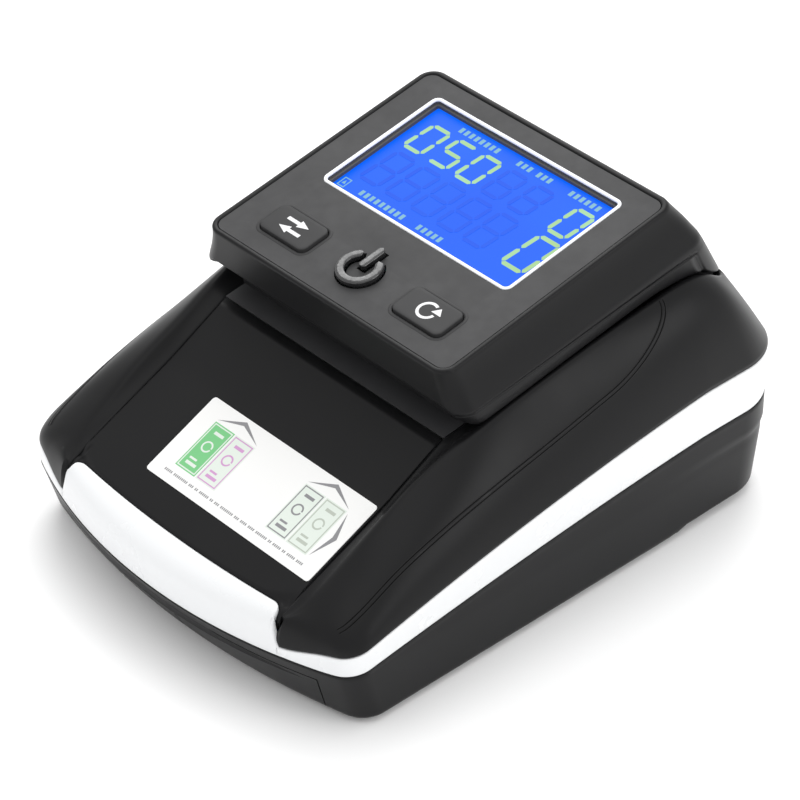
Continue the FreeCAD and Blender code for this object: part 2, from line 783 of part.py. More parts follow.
def pulley(label, centre, radius, bore_radius, limits):
    """Flanged belt pulley."""
    rim = rod(label + "_rim", PATH, "x", centre, radius, limits)
    low, high = limits
    flanges = [rod(label + "_flange", PATH, "x", centre, radius + FLANGE_REACH, span)
               for span in ((low, low + FLANGE_THICKNESS), (high - FLANGE_THICKNESS, high))]
    whole = fuse(label + "_whole", rim, *flanges)
    bore = rod(label + "_bore", PATH, "x", centre, bore_radius, overrun(limits))
    return cut(label, whole, bore)


BELT_SLACK = 0.1
BELT_SIDE_GAP = 0.4


def belt(label, first, first_radius, second, second_radius, limits):
    """Belt that wraps two pulleys, made from its tangent straights and end arcs."""
    low, high = (float(limit) for limit in limits)

    def loop(grow):
        radii = (float(first_radius) + grow, float(second_radius) + grow)
        centres = [PATH.vector(low, *first), PATH.vector(low, *second)]
        along = (centres[1] - centres[0]).normalize()
        across = Vector(1, 0, 0).cross(along)
        lean = (radii[0] - radii[1]) / (centres[1] - centres[0]).Length
        straight = math.sqrt(1 - lean ** 2)
        upper = along * lean + across * straight
        lower = along * lean - across * straight
        touch = [centres[0] + upper * radii[0], centres[1] + upper * radii[1],
                 centres[1] + lower * radii[1], centres[0] + lower * radii[0]]
        edges = [
            Part.LineSegment(touch[0], touch[1]).toShape(),
            Part.Arc(touch[1], centres[1] + along * radii[1], touch[2]).toShape(),
            Part.LineSegment(touch[2], touch[3]).toShape(),
            Part.Arc(touch[3], centres[0] - along * radii[0], touch[0]).toShape(),
        ]
        return Part.Face(Part.Wire(edges)).extrude(Vector(high - low, 0, 0))

    return formed(label, loop(BELT_SLACK + s.belt_thickness.value).cut(loop(BELT_SLACK)))


PULLEY_GAP = 0.7
SHAFT_OVERHANG = 0.5


def make_drive():
    """Two driven shafts with rubber rollers, their bushes, pulleys, belts and the motor."""
    start = s.plate_half_span + PULLEY_GAP
    end = start + s.pulley_width
    right_span, left_span = side_limits(1, start, end), side_limits(-1, start, end)
    bushes = []
    for axle, station in AXLES:
        centre = axle_centre(station)
        limits = (-end, end if axle == "feed" else s.plate_half_span + SHAFT_OVERHANG)
        piece(rod(axle + "_shaft", PATH, "x", centre, s.shaft_radius, limits), axle + "_shaft")
        for label, side in ROLLER_SIDES:
            name = "%s_roller_%s" % (axle, label)
            piece(make_roller(name, centre, s.roller_radius, s.shaft_radius, roller_limits(side)), name)
            bushes.append(make_shaft_bush("%s_bush_%s" % (axle, label), side, station))
        name = axle + "_transfer_pulley"
        piece(pulley(name, centre, s.pulley_radius, s.shaft_radius, left_span), name)
    piece(fuse("shaft_bushes", *bushes), "shaft_bushes")
    belt_start, belt_end = start + BELT_SIDE_GAP, end - BELT_SIDE_GAP
    feed, leave = (axle_centre(station) for axle, station in AXLES)
    piece(belt("transfer_belt", feed, s.pulley_radius, leave, s.pulley_radius,
               side_limits(-1, belt_start, belt_end)), "transfer_belt")
    piece(pulley("shaft_pulley", feed, s.pulley_radius, s.shaft_radius, right_span), "shaft_pulley")
    piece(pulley("motor_pulley", MOTOR_CENTRE, s.motor_pulley_radius, MOTOR_SHAFT_RADIUS, right_span),
          "motor_pulley")
    piece(belt("motor_belt", MOTOR_CENTRE, s.motor_pulley_radius, feed, s.pulley_radius,
               side_limits(1, belt_start, belt_end)), "motor_belt")
    make_motor(end)


def make_motor(shaft_end):
    """Round motor on the right plate, with a blind hole that its shaft runs in."""
    shaft_start = PLATE_INNER - 4
    piece(rod("motor_shaft", PATH, "x", MOTOR_CENTRE, MOTOR_SHAFT_RADIUS, (shaft_start, shaft_end)),
          "motor_shaft")
    can = rod("motor_can", PATH, "x", MOTOR_CENTRE, s.motor_radius,
              (PLATE_INNER - s.motor_length, PLATE_INNER))
    nose_hole = rod("motor_nose_hole", PATH, "x", MOTOR_CENTRE, MOTOR_SHAFT_RADIUS + s.running_fit,
                    overrun((shaft_start, PLATE_INNER)))
    piece(cut("drive_motor", can, nose_hole), "drive_motor")


LOWER_WINDOW_RISE = (-1.6, -0.05)
LOWER_BOARD_TOP = -4.4
MAGNET_RISE = (-9.0, 0.2)


def make_lower_sensors():
    piece(box("lower_sensor_window", PATH, around(0, SENSOR_HALF_WIDTH),
              around(SENSOR_STATION, SENSOR_HALF_LENGTH), LOWER_WINDOW_RISE), "lower_sensor_window")
    board_low = LOWER_BOARD_TOP - s.board_thickness
    piece(box("lower_sensor_board", PATH, around(0, SENSOR_BOARD_HALF_WIDTH),
              around(SENSOR_STATION, SENSOR_BOARD_HALF_LENGTH), (board_low, LOWER_BOARD_TOP)),
          "lower_sensor_board")
    piece(box("magnetic_sensor", PATH, around(0, MAGNET_HALF_WIDTH),
              around(MAGNET_STATION, MAGNET_HALF_LENGTH), MAGNET_RISE), "magnetic_sensor")


# ---- body: electronics, feet and screws ----------------------------------------------------------

BOARD_TOP = s.board_rise + s.board_thickness
BOARD_HALF_WIDTH, BOARD_Y = 44.0, (2.0, 78.0)
SOCKET_MOUTH = REAR - 4.5
JACK_HALF_WIDTH, JACK_LENGTH, JACK_HEIGHT = 5.2, 13.0, 8.6
JACK_BORE, JACK_BORE_DEPTH, JACK_PIN = 2.8, 9.0, 1.0
PORT_HALF_WIDTH, PORT_LENGTH, PORT_HEIGHT = 4.4, 9.0, 3.9
PORT_WALL, PORT_DEPTH = 0.5, 6.0
BUZZER_SPOT, BUZZER_RADIUS, BUZZER_HEIGHT = (-30, 24), 6.0, 7.0
BATTERY_X, BATTERY_Y, BATTERY_TOP = (6, 50), (-65, -45), 22.0


def make_electronics():
    """Main board with its sockets and buzzer, and the battery pack behind its door."""
    piece(box("main_board", WORLD, around(0, BOARD_HALF_WIDTH), BOARD_Y, (s.board_rise, BOARD_TOP)),
          "main_board")
    piece(make_dc_jack(), "dc_jack")
    piece(make_data_port(), "data_port")
    piece(rod("buzzer", WORLD, "z", BUZZER_SPOT, BUZZER_RADIUS, (BOARD_TOP, BOARD_TOP + BUZZER_HEIGHT)),
          "buzzer")
    piece(box("battery_pack", WORLD, BATTERY_X, BATTERY_Y, (FLOOR, BATTERY_TOP)), "battery_pack")


def make_dc_jack():
    """Round power socket with its centre pin."""
    centre = (SOCKET_X, SOCKET_RISE)
    case = box("dc_jack_case", WORLD, around(SOCKET_X, JACK_HALF_WIDTH),
               (SOCKET_MOUTH - JACK_LENGTH, SOCKET_MOUTH), (BOARD_TOP, BOARD_TOP + JACK_HEIGHT))
    bore_end = SOCKET_MOUTH - JACK_BORE_DEPTH
    bore = rod("dc_jack_bore", WORLD, "y", centre, JACK_BORE, (bore_end, SOCKET_MOUTH + 1))
    pin = rod("dc_jack_pin", WORLD, "y", centre, JACK_PIN, (bore_end - 0.5, SOCKET_MOUTH - 0.5))
    return fuse("dc_jack", cut("dc_jack_body", case, bore), pin)


def make_data_port():
    """Flat metal socket, open at the back."""
    top = BOARD_TOP + PORT_HEIGHT
    shell = box("data_port_case", WORLD, around(PORT_X, PORT_HALF_WIDTH),
                (SOCKET_MOUTH - PORT_LENGTH, SOCKET_MOUTH), (BOARD_TOP, top))
    hollow = box("data_port_hollow", WORLD, around(PORT_X, PORT_HALF_WIDTH - PORT_WALL),
                 (SOCKET_MOUTH - PORT_DEPTH, SOCKET_MOUTH + 1), (BOARD_TOP + PORT_WALL, top - PORT_WALL))
    return cut("data_port", shell, hollow)


FOOT_SPOTS = [(x, y) for x in (-50, 50) for y in (-44, 64)]


def make_feet():
    feet = [rod("foot_%d" % number, WORLD, "z", spot, s.foot_radius, (0, s.foot_height))
            for number, spot in enumerate(FOOT_SPOTS)]
    return fuse("rubber_feet", *feet)


def make_case_screws():
    screws = []
    for number, (x, y) in enumerate(BOSS_SPOTS):
        screws.append(rod("case_screw_shank_%d" % number, WORLD, "z", (x, y), s.screw_radius,
                          (SCREW_HEAD_TOP, s.split_rise + SCREW_BITE)))
        screws.append(rod("case_screw_head_%d" % number, WORLD, "z", (x, y), SCREW_HEAD_RADIUS,
                          (SCREW_HEAD_LOW, SCREW_HEAD_TOP)))
    return fuse("case_screws", *screws)


# ---- head ------------------------------------------------------------------------------------------

# A flared block grows by these shares of its flare at the front and at the corners.
FRONT_SHARE, CORNER_SHARE = 0.12, 0.6


def rounded_plate(half_width, back, front, corner, low, high, flare=0.0):
    """Round-cornered block in the head's frame, from low to high, wider at its low face."""
    def outline(grow, rise):
        x, y_low, y_high = half_width + grow, front - FRONT_SHARE * grow, back + grow
        radius = corner + CORNER_SHARE * grow
        diagonal = radius * (1 - math.sqrt(0.5))
        spots = []
        for sign_x, y, sign_y in ((1, y_low, 1), (1, y_high, -1), (-1, y_high, -1), (-1, y_low, 1)):
            along_x = (sign_x * (x - radius), y)
            along_y = (sign_x * x, y + sign_y * radius)
            middle = (sign_x * (x - diagonal), y + sign_y * diagonal)
            order = (along_x, middle, along_y) if sign_x * sign_y > 0 else (along_y, middle, along_x)
            spots.append([HEAD.vector(px, py, rise) for px, py in order])
        edges = []
        for number, corner_spots in enumerate(spots):
            edges.append(Part.Arc(*corner_spots).toShape())
            following = spots[(number + 1) % len(spots)]
            edges.append(Part.LineSegment(corner_spots[2], following[0]).toShape())
        return Part.Wire(edges)

    return Part.makeLoft([outline(flare, low), outline(0.0, high)], True, True)


HEAD_HALF = s.head_width.value / 2
HEAD_BACK = s.head_length.value
SKIRT = s.head_skirt_depth.value
KEYS = (("left", -1), ("right", 1))
DISPLAY_END = s.display_start.value + s.display_length.value
DISPLAY_HALF = s.display_width.value / 2
KEY_HALF = s.key_width.value / 2
KEY_HALF_LENGTH = s.key_length.value / 2
RECESS = s.fascia_sink.value + s.fascia_thickness.value
DECK = RECESS + 1.7
CUT_TOP = 1.0
POWER_BASE_RADIUS, POWER_BASE_SHIFT = 9.2, 1.0
HEAD_SCREWS = [(x, station) for x in (-41.5, 41.5) for station in (11.0, 76.0)]


def head_normal():
    return HEAD.vector(0, 0, 1) - HEAD.vector(0, 0, 0)


def path_normal():
    return PATH.vector(0, 0, 1) - PATH.vector(0, 0, 0)


def power_disc(radius, low, high):
    """Round block under the power key, centred on its ring and bar together."""
    centre = HEAD.vector(0, s.key_station.value + POWER_BASE_SHIFT, low)
    return Part.makeCylinder(radius, high - low, centre, head_normal())


def key_block(side, grow, low, high):
    """Round-cornered block of a rectangular key in the head's frame."""
    form = rounded_plate(KEY_HALF + grow, s.key_station.value + KEY_HALF_LENGTH + grow,
                         s.key_station.value - KEY_HALF_LENGTH - grow,
                         s.key_corner.value + grow, low, high)
    return form.translated(Vector(side * s.key_offset.value, 0, 0))


POWER_BAR_START = 0.4
WEDGE_SHIFT = 2.4


def power_symbol(grow, low, high):
    """Ring with a gap at the back and a bar through the gap, in the head's frame."""
    centre_y = s.key_station.value
    depth = high - low
    normal = head_normal()

    def disc(radius):
        return Part.makeCylinder(radius, depth, HEAD.vector(0, centre_y, low), normal)

    half_gap = math.radians(s.power_gap_angle.value)
    reach = s.power_outer.value * 2
    bar_half = s.power_bar.value / 2 + grow
    gap_x = reach * math.tan(half_gap)
    wedge = [HEAD.vector(0, centre_y + WEDGE_SHIFT * grow, low),
             HEAD.vector(gap_x, centre_y + reach, low), HEAD.vector(-gap_x, centre_y + reach, low)]
    gap = Part.Face(Part.makePolygon(wedge + wedge[:1])).extrude(normal * depth)
    ring = disc(s.power_outer.value + grow).cut(disc(s.power_inner.value - grow)).cut(gap)
    bar_low = centre_y + POWER_BAR_START - grow
    bar_high = centre_y + s.power_bar_end.value + grow
    bar = [HEAD.vector(-bar_half, bar_low, low), HEAD.vector(bar_half, bar_low, low),
           HEAD.vector(bar_half, bar_high, low), HEAD.vector(-bar_half, bar_high, low)]
    stem = Part.Face(Part.makePolygon(bar + bar[:1])).extrude(normal * depth)
    return ring, stem


def side_prism(corners, half_span):
    """Block of an outline given in the head's own Y and Z, centred on X."""
    loop = [HEAD.vector(-half_span, y, z) for y, z in corners + corners[:1]]
    return Part.Face(Part.makePolygon(loop)).extrude(Vector(2 * half_span, 0, 0))


APRON_TOP_BACK, APRON_LOW_BACK, APRON_LOW_FRONT = (4.3, 9.0, -1.9)
APRON_BACK_FOOT, APRON_FRONT_FOOT = -25.8, -21.9
APRON_WALL_TOP, APRON_WALL_LOW = 2.5, 2.2
APRON_SIDE_INSET, APRON_SIDE_WALL = 0.1, 2.0
NOTE_EXIT_INSET, NOTE_EXIT_STATION, NOTE_EXIT_HEIGHT = 0.9, 17.0, 3.8


def back_skirt():
    """Apron behind the head that covers the hinge, open in the middle where notes leave."""
    half, top = HEAD_HALF + s.flank_flare.value - APRON_SIDE_INSET, -SKIRT + 0.1
    apron = side_prism([(HEAD_BACK - 3.9, top), (HEAD_BACK + APRON_TOP_BACK, top),
                        (HEAD_BACK + APRON_LOW_BACK, APRON_BACK_FOOT),
                        (HEAD_BACK + APRON_LOW_FRONT, APRON_FRONT_FOOT)], half)
    inside_foot = APRON_BACK_FOOT - 1.2
    inside = side_prism([(HEAD_BACK - 13, top + 1), (HEAD_BACK + APRON_TOP_BACK - APRON_WALL_TOP, top + 1),
                         (HEAD_BACK + APRON_LOW_BACK - APRON_WALL_LOW, inside_foot),
                         (HEAD_BACK - 13, inside_foot)], half - APRON_SIDE_WALL)
    note_exit = block(around(0, THROAT - NOTE_EXIT_INSET), (0, PAST_ENDS),
                      (0, path_rise_at(REAR - NOTE_EXIT_STATION) + NOTE_EXIT_HEIGHT))
    return apron.cut(inside).cut(note_exit)


DISPLAY_CORNER = 2.4
HEAD_POST_RADIUS, HEAD_POST_FOOT = 3.0, 8.0
HEAD_PILOT_RADIUS, HEAD_PILOT_DEPTH = 1.25, 8.5


def make_head_shell():
    form = rounded_plate(HEAD_HALF, HEAD_BACK, 0, s.rim_corner.value, -SKIRT, 0, s.flank_flare.value)
    hollow = rounded_plate(HEAD_HALF - WALL, HEAD_BACK - WALL, WALL, s.rim_corner.value - WALL,
                           -SKIRT - 0.2, -DECK, s.flank_flare.value)
    form = form.cut(hollow)
    form = form.fuse(back_skirt())
    form = form.cut(head_inset(s.rim_width.value, -RECESS, CUT_TOP))
    ledge = s.display_ledge.value
    form = form.cut(display_block(ledge, DISPLAY_CORNER - ledge, -DECK - 1, CUT_TOP))
    for label, side in KEYS:
        form = form.cut(key_block(side, s.key_gap.value, -DECK - 1, CUT_TOP))
    form = form.cut(power_disc(POWER_BASE_RADIUS + 0.4, -DECK - 1, CUT_TOP))
    inside = head_inset(1.0, -SKIRT + 0.1, -DECK + 0.1)
    for x, station in HEAD_SCREWS:
        foot = PATH.vector(x, station, HEAD_POST_FOOT)
        post = Part.makeCylinder(HEAD_POST_RADIUS, SKIRT * 2, foot, path_normal())
        form = form.fuse(post.common(inside))
        form = form.cut(Part.makeCylinder(HEAD_PILOT_RADIUS, HEAD_PILOT_DEPTH, foot, path_normal()))
    return formed("head_shell", form)


def head_inset(edge, low, high):
    """Block on the head's outline, moved in from the rim by an edge."""
    return rounded_plate(HEAD_HALF - edge, HEAD_BACK - edge, edge, s.rim_corner.value - edge, low, high)


def display_block(edge, corner, low, high):
    """Block on the display's outline, moved in by an edge."""
    return rounded_plate(DISPLAY_HALF - edge, DISPLAY_END - edge, s.display_start.value + edge, corner,
                         low, high)


def make_fascia():
    form = head_inset(s.rim_width.value + 0.15, -RECESS, -s.fascia_sink.value)
    form = form.cut(display_block(0, DISPLAY_CORNER, -RECESS - 1, CUT_TOP))
    for label, side in KEYS:
        form = form.cut(key_block(side, s.key_gap.value, -RECESS - 1, CUT_TOP))
    for solid in power_symbol(s.key_gap.value, -RECESS - 1, CUT_TOP):
        form = form.cut(solid)
    return formed("fascia_plate", form)


DISPLAY_FIT = 0.1
BEZEL_RISE, LENS_RISE, BACKLIGHT_LOW = -0.15, -0.5, -7.0


def make_display():
    """Bezel, clear lens, glass panel and the light behind it."""
    bezel = s.bezel_width.value
    frame = display_block(DISPLAY_FIT, DISPLAY_CORNER - DISPLAY_FIT, -RECESS, BEZEL_RISE)
    frame = frame.cut(display_block(bezel, DISPLAY_CORNER - bezel, -RECESS - 1, CUT_TOP))
    piece(formed("display_frame", frame), "display_frame")
    edge = bezel + DISPLAY_FIT / 2
    lens = display_block(edge, DISPLAY_CORNER - edge, -RECESS, LENS_RISE)
    piece(formed("display_window", lens), "display_window")
    ledge = s.display_ledge + DISPLAY_FIT
    glass_foot = -s.glass_sink - s.glass_thickness
    piece(box("lcd_panel", HEAD, (-s.display_width / 2 + ledge, s.display_width / 2 - ledge),
              (s.display_start + ledge, s.display_start + s.display_length - ledge),
              (glass_foot, -s.glass_sink)), "lcd_panel")
    piece(box("backlight", HEAD, around(0, DISPLAY_HALF + 1),
              (s.display_start - 1, s.display_start + s.display_length + 1),
              (BACKLIGHT_LOW, glass_foot)), "backlight")


CONTROL_BOARD_TOP = -7.4
CONTROL_BOARD_HALF_WIDTH, CONTROL_BOARD_Y = 38.0, (4.0, 79.0)
SWITCH_TOP, SWITCH_HALF, PLUNGER_RADIUS, PLUNGER_HEIGHT = -4.9, 3.0, 1.5, 0.6
FLANGE_LOW, FLANGE_REACH_OUT = -4.0, 0.8
SWITCH_SPOTS = (("left", -s.key_offset), ("power", as_size(0)), ("right", s.key_offset))


def make_controls():
    """Control board with a switch under each key, and the three keys."""
    floor = CONTROL_BOARD_TOP - s.board_thickness
    piece(box("control_board", HEAD, around(0, CONTROL_BOARD_HALF_WIDTH), CONTROL_BOARD_Y,
              (floor, CONTROL_BOARD_TOP)), "control_board")
    for label, x in SWITCH_SPOTS:
        name = label + "_switch"
        plunger_foot = SWITCH_TOP - PLUNGER_HEIGHT
        body = box(name + "_body", HEAD, around(x, SWITCH_HALF), around(s.key_station, SWITCH_HALF),
                   (CONTROL_BOARD_TOP, plunger_foot))
        plunger = rod(name + "_plunger", HEAD, "z", (x, s.key_station), PLUNGER_RADIUS,
                      (plunger_foot, SWITCH_TOP))
        piece(fuse(name, body, plunger), name)
    for label, side in KEYS:
        cap = key_block(side, 0, FLANGE_LOW + 0.1, s.key_proud.value)
        flange = key_block(side, FLANGE_REACH_OUT, FLANGE_LOW, -DECK - 0.1)
        piece(formed(label + "_key", cap.fuse(flange)), label + "_key")
    ring, stem = power_symbol(0, -RECESS - 0.6, s.power_proud.value)
    base = power_disc(POWER_BASE_RADIUS, FLANGE_LOW, -RECESS - 0.4)
    piece(formed("power_key", ring.fuse(stem).fuse(base)), "power_key")


HEAD_BASE_HALF = 47.9
HEAD_BASE_FRONT, HEAD_BASE_BACK = 6.0, 82.5
HEAD_BASE_FRONT_TOP, HEAD_BASE_BACK_TOP = 9.9, 12.6
WELL_HALF, WELL_WALL = 39.5, 2.2
STEP_INNER, ARM_TOP = 41.7, 5.9
POCKET_X, POCKET_Y = (39.0, 45.8), (15.0, 70.0)
PINCH_WINDOW_GAP = 0.5
POST_X, POST_HALF_LENGTH, POST_ABOVE_SHAFT = (18.5, 21.5), 3.0, 2.6
HEAD_SCREW_LOW, HEAD_SCREW_SEAT, HEAD_SCREW_TOP = 6.2, 7.6, 16.0
HEAD_SCREW_RADIUS, HEAD_SCREW_HEAD = 1.2, 2.2
HINGE_LUG = (46.0, HEAD_BASE_HALF)
HINGE_LUG_OUTLINE = [(82, 6), (82, 12), (86, 7.5), (90, -0.4), (89.5, -3.2), (86.3, -3.3)]


def make_head_base():
    """Tray that closes the head, guides notes from above and carries the pinch rollers."""
    gap = s.note_gap
    outline = [(HEAD_BASE_FRONT, gap), (HEAD_BASE_BACK, gap), (HEAD_BASE_BACK, HEAD_BASE_BACK_TOP),
               (HEAD_BASE_FRONT, HEAD_BASE_FRONT_TOP)]
    whole = plate("head_base_form", PATH, "YZ_Plane", outline, (-HEAD_BASE_HALF, HEAD_BASE_HALF))
    floor = gap + s.sheet_thickness
    tray = cut("head_base_tray", whole, *head_base_openings(floor))
    posts, bores = head_base_posts(floor)
    axis = (s.hinge_station, s.hinge_rise)
    for label, side in KEYS:
        span = side_limits(side, *HINGE_LUG)
        posts.append(plate("hinge_lug_" + label, PATH, "YZ_Plane", HINGE_LUG_OUTLINE, span))
        posts.append(rod("hinge_barrel_" + label, WORLD, "x", axis, s.hinge_barrel, span))
    bores.append(rod("hinge_bore", WORLD, "x", axis, s.hinge_pin_radius + s.running_fit,
                     overrun((-HEAD_BASE_HALF, HEAD_BASE_HALF))))
    return cut("head_base", fuse("head_base_whole", tray, *posts), *bores)


def head_base_openings(floor):
    """Well, side steps and pockets, roller and sensor windows, and screw holes."""
    above = HEAD_BASE_BACK_TOP + 8
    through = overrun((0, floor))
    tools = [box("head_base_well", PATH, around(0, WELL_HALF),
                 (HEAD_BASE_FRONT + WELL_WALL, HEAD_BASE_BACK - WELL_WALL), (floor, above))]
    for label, side in KEYS:
        outer = side_limits(side, STEP_INNER, HEAD_BASE_HALF + 1)
        tools.append(box("head_base_step_" + label, PATH, outer, overrun((0, HEAD_BASE_BACK)),
                         (-BORE_OVERRUN, ARM_TOP)))
        tools.append(box("head_base_pocket_" + label, PATH, side_limits(side, *POCKET_X), POCKET_Y,
                         (ARM_TOP + 2, above)))
    for axle, station in AXLES:
        for label, side in ROLLER_SIDES:
            tools.append(box("pinch_window_%s_%s" % (axle, label), PATH,
                             roller_limits(side, ROLLER_SIDE_GAP),
                             around(station, s.pinch_radius + PINCH_WINDOW_GAP), through))
    tools.append(box("upper_window_slot", PATH, around(0, SENSOR_HALF_WIDTH + WINDOW_GAP),
                     around(SENSOR_STATION, SENSOR_HALF_LENGTH + WINDOW_GAP), through))
    for number, (x, station) in enumerate(HEAD_SCREWS):
        tools.append(rod("head_screw_bore_%d" % number, PATH, "z", (x, station),
                         HEAD_SCREW_RADIUS + 0.2, (0, above)))
        tools.append(rod("head_screw_sink_%d" % number, PATH, "z", (x, station),
                         HEAD_SCREW_HEAD + 0.3, (0, HEAD_SCREW_SEAT)))
    return tools


def head_base_posts(floor):
    """Posts that carry the pinch shafts, and the bores through them."""
    posts = []
    bores = []
    for axle, station in AXLES:
        for label, side in ROLLER_SIDES:
            span = side_limits(side, *POST_X)
            name = "pinch_post_%s_%s" % (axle, label)
            posts.append(box(name, PATH, span, around(station, POST_HALF_LENGTH),
                             (floor - 0.5, PINCH_RISE + POST_ABOVE_SHAFT)))
            bores.append(rod(name + "_bore", PATH, "x", (station, PINCH_RISE),
                             s.pinch_shaft_radius + s.running_fit, overrun(span)))
    return posts, bores


def make_pinch_rollers():
    for axle, station in AXLES:
        centre = (station, PINCH_RISE)
        name = "pinch_shaft_" + axle
        piece(rod(name, PATH, "x", centre, s.pinch_shaft_radius, around(0, POST_X[1] + 0.5)), name)
        for label, side in ROLLER_SIDES:
            name = "pinch_roller_%s_%s" % (axle, label)
            piece(make_roller(name, centre, s.pinch_radius, s.pinch_shaft_radius, roller_limits(side)),
                  name)


UPPER_BOARD_GAP, UPPER_BOARD_BACK = 2.0, 16.0


def make_upper_sensor():
    floor = s.note_gap + s.sheet_thickness
    piece(box("upper_sensor_window", PATH, around(0, SENSOR_HALF_WIDTH),
              around(SENSOR_STATION, SENSOR_HALF_LENGTH), (s.note_gap + 0.1, floor)),
          "upper_sensor_window")
    board = (SENSOR_STATION - SENSOR_BOARD_HALF_LENGTH, SENSOR_STATION + UPPER_BOARD_BACK)
    board_low = floor + UPPER_BOARD_GAP
    piece(box("upper_sensor_board", PATH, around(0, SENSOR_BOARD_HALF_WIDTH), board,
              (board_low, board_low + s.board_thickness)), "upper_sensor_board")


def make_head_screws():
    screws = []
    for number, (x, station) in enumerate(HEAD_SCREWS):
        screws.append(rod("head_screw_shank_%d" % number, PATH, "z", (x, station), HEAD_SCREW_RADIUS,
                          (HEAD_SCREW_SEAT, HEAD_SCREW_TOP)))
        screws.append(rod("head_screw_head_%d" % number, PATH, "z", (x, station), HEAD_SCREW_HEAD,
                          (HEAD_SCREW_LOW, HEAD_SCREW_SEAT)))
    return fuse("head_screws", *screws)


def make_hinge_pins():
    pins = []
    for label, side in KEYS:
        span = side_limits(side, THROAT + 0.2, HINGE_LUG[1])
        pins.append(rod("hinge_pin_" + label, WORLD, "x", (s.hinge_station, s.hinge_rise),
                        s.hinge_pin_radius, span))
    return fuse("hinge_pins", *pins)


def finish():
    """Stop on any failed object, then write each sub-part to its own file."""
    document.recompute()
    for item in document.Objects:
        if "Invalid" in item.State or "Error" in item.State:
            raise RuntimeError("%s failed: %s" % (item.Label, item.State))
    for item in pieces:
        if item.Shape.isNull() or not item.Shape.isValid():
            raise RuntimeError("%s has no valid shape" % item.Label)
    os.makedirs("parts", exist_ok=True)
    for item in pieces:
        item.Shape.exportStep("parts/%s.step" % item.Label)
        print("%-24s %8.1f mm3, solids %d" % (item.Label, item.Shape.Volume, len(item.Shape.Solids)))


# ---- the assembly --------------------------------------------------------------------------------

piece(make_lower_shell(), "lower_shell")
piece(make_battery_door(), "battery_door")
piece(make_trim_band(), "trim_band")
piece(make_upper_shell(), "upper_shell")
piece(make_feed_tray(), "feed_tray")
piece(make_tray_label(), "tray_label")
piece(make_note_guide(), "note_guide")
make_side_plates()
make_drive()
make_lower_sensors()
make_electronics()
piece(make_feet(), "rubber_feet")
piece(make_case_screws(), "case_screws")
piece(make_hinge_pins(), "hinge_pins")
piece(make_head_shell(), "head_shell")
piece(make_fascia(), "fascia_plate")
make_display()
make_controls()
piece(make_head_base(), "head_base")
make_pinch_rollers()
make_upper_sensor()
piece(make_head_screws(), "head_screws")
finish()
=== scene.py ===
import json
import math

import bmesh
import bpy
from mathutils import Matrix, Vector


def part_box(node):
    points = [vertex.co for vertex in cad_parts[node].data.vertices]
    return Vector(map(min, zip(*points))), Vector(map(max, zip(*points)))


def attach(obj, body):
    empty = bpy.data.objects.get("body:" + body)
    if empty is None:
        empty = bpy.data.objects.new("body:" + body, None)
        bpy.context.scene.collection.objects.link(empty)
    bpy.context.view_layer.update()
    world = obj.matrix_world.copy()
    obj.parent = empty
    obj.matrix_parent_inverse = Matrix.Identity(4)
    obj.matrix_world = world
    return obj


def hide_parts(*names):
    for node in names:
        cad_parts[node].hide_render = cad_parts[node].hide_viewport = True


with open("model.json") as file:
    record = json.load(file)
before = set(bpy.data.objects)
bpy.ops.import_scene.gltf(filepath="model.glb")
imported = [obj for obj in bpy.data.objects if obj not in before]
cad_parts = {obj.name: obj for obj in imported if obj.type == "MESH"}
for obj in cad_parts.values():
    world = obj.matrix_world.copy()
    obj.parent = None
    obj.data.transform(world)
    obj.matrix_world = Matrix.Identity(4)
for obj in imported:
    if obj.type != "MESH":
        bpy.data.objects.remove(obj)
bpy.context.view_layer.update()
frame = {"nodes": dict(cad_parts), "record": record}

# Looks of a desk-top counterfeit bill detector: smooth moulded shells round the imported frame.
# Helper functions take millimetres in the part's own frame: +Z up, the clerk's side at -Y.

MM = 0.001


# ---- places read from the frame ----

def span(node):
    """Lowest and highest corner of a CAD node, in millimetres."""
    low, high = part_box(node)
    return low / MM, high / MM


TRIM_LOW, TRIM_HIGH = span("trim_band")
HALF_WIDTH = TRIM_HIGH.x
FRONT, REAR = TRIM_LOW.y, TRIM_HIGH.y
FLOOR_RISE = span("lower_shell")[0].z
TRAY_LOW, TRAY_HIGH = span("feed_tray")
TRAY_GAP = 0.3
THROAT = TRAY_HIGH.x
PATH_FRONT = TRAY_HIGH.y + TRAY_GAP
PATH_RISE = TRAY_HIGH.z


# ---- small mesh kit ----

# Points nearer than the first, and edges shorter than the second, are merged; both in metres.
MERGE_DISTANCE, SLIVER_LENGTH = 0.000004, 0.000002


def clamp(value):
    return min(1.0, max(0.0, value))


def smooth_step(value, start, end):
    share = clamp((value - start) / (end - start))
    return share * share * (3 - 2 * share)


def mix(first, second, share):
    return first + (second - first) * share


def up(rise):
    return Vector((0, 0, rise))


def mirror(row):
    """The same points on the other side of the middle."""
    return [Vector((-point.x, point.y, point.z)) for point in row]


def along(points, place):
    """Catmull-Rom curve through points; place runs from 0 to len(points) - 1."""
    last = len(points) - 1
    index = min(int(place), last - 1)
    t = place - index
    before = points[max(index - 1, 0)]
    start, end = points[index], points[index + 1]
    after = points[min(index + 2, last)]
    return 0.5 * ((2 * start) + (end - before) * t + (2 * before - 5 * start + 4 * end - after) * t * t
                  + (3 * start - before - 3 * end + after) * t ** 3)


def new_piece(name, mesh, material, body, nodes=()):
    """Object of a finished mesh that rides a body and may stand for CAD nodes."""
    piece = bpy.data.objects.new(name, mesh)
    bpy.context.scene.collection.objects.link(piece)
    mesh.materials.append(material)
    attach(piece, body)
    if nodes:
        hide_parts(*nodes)
    return piece


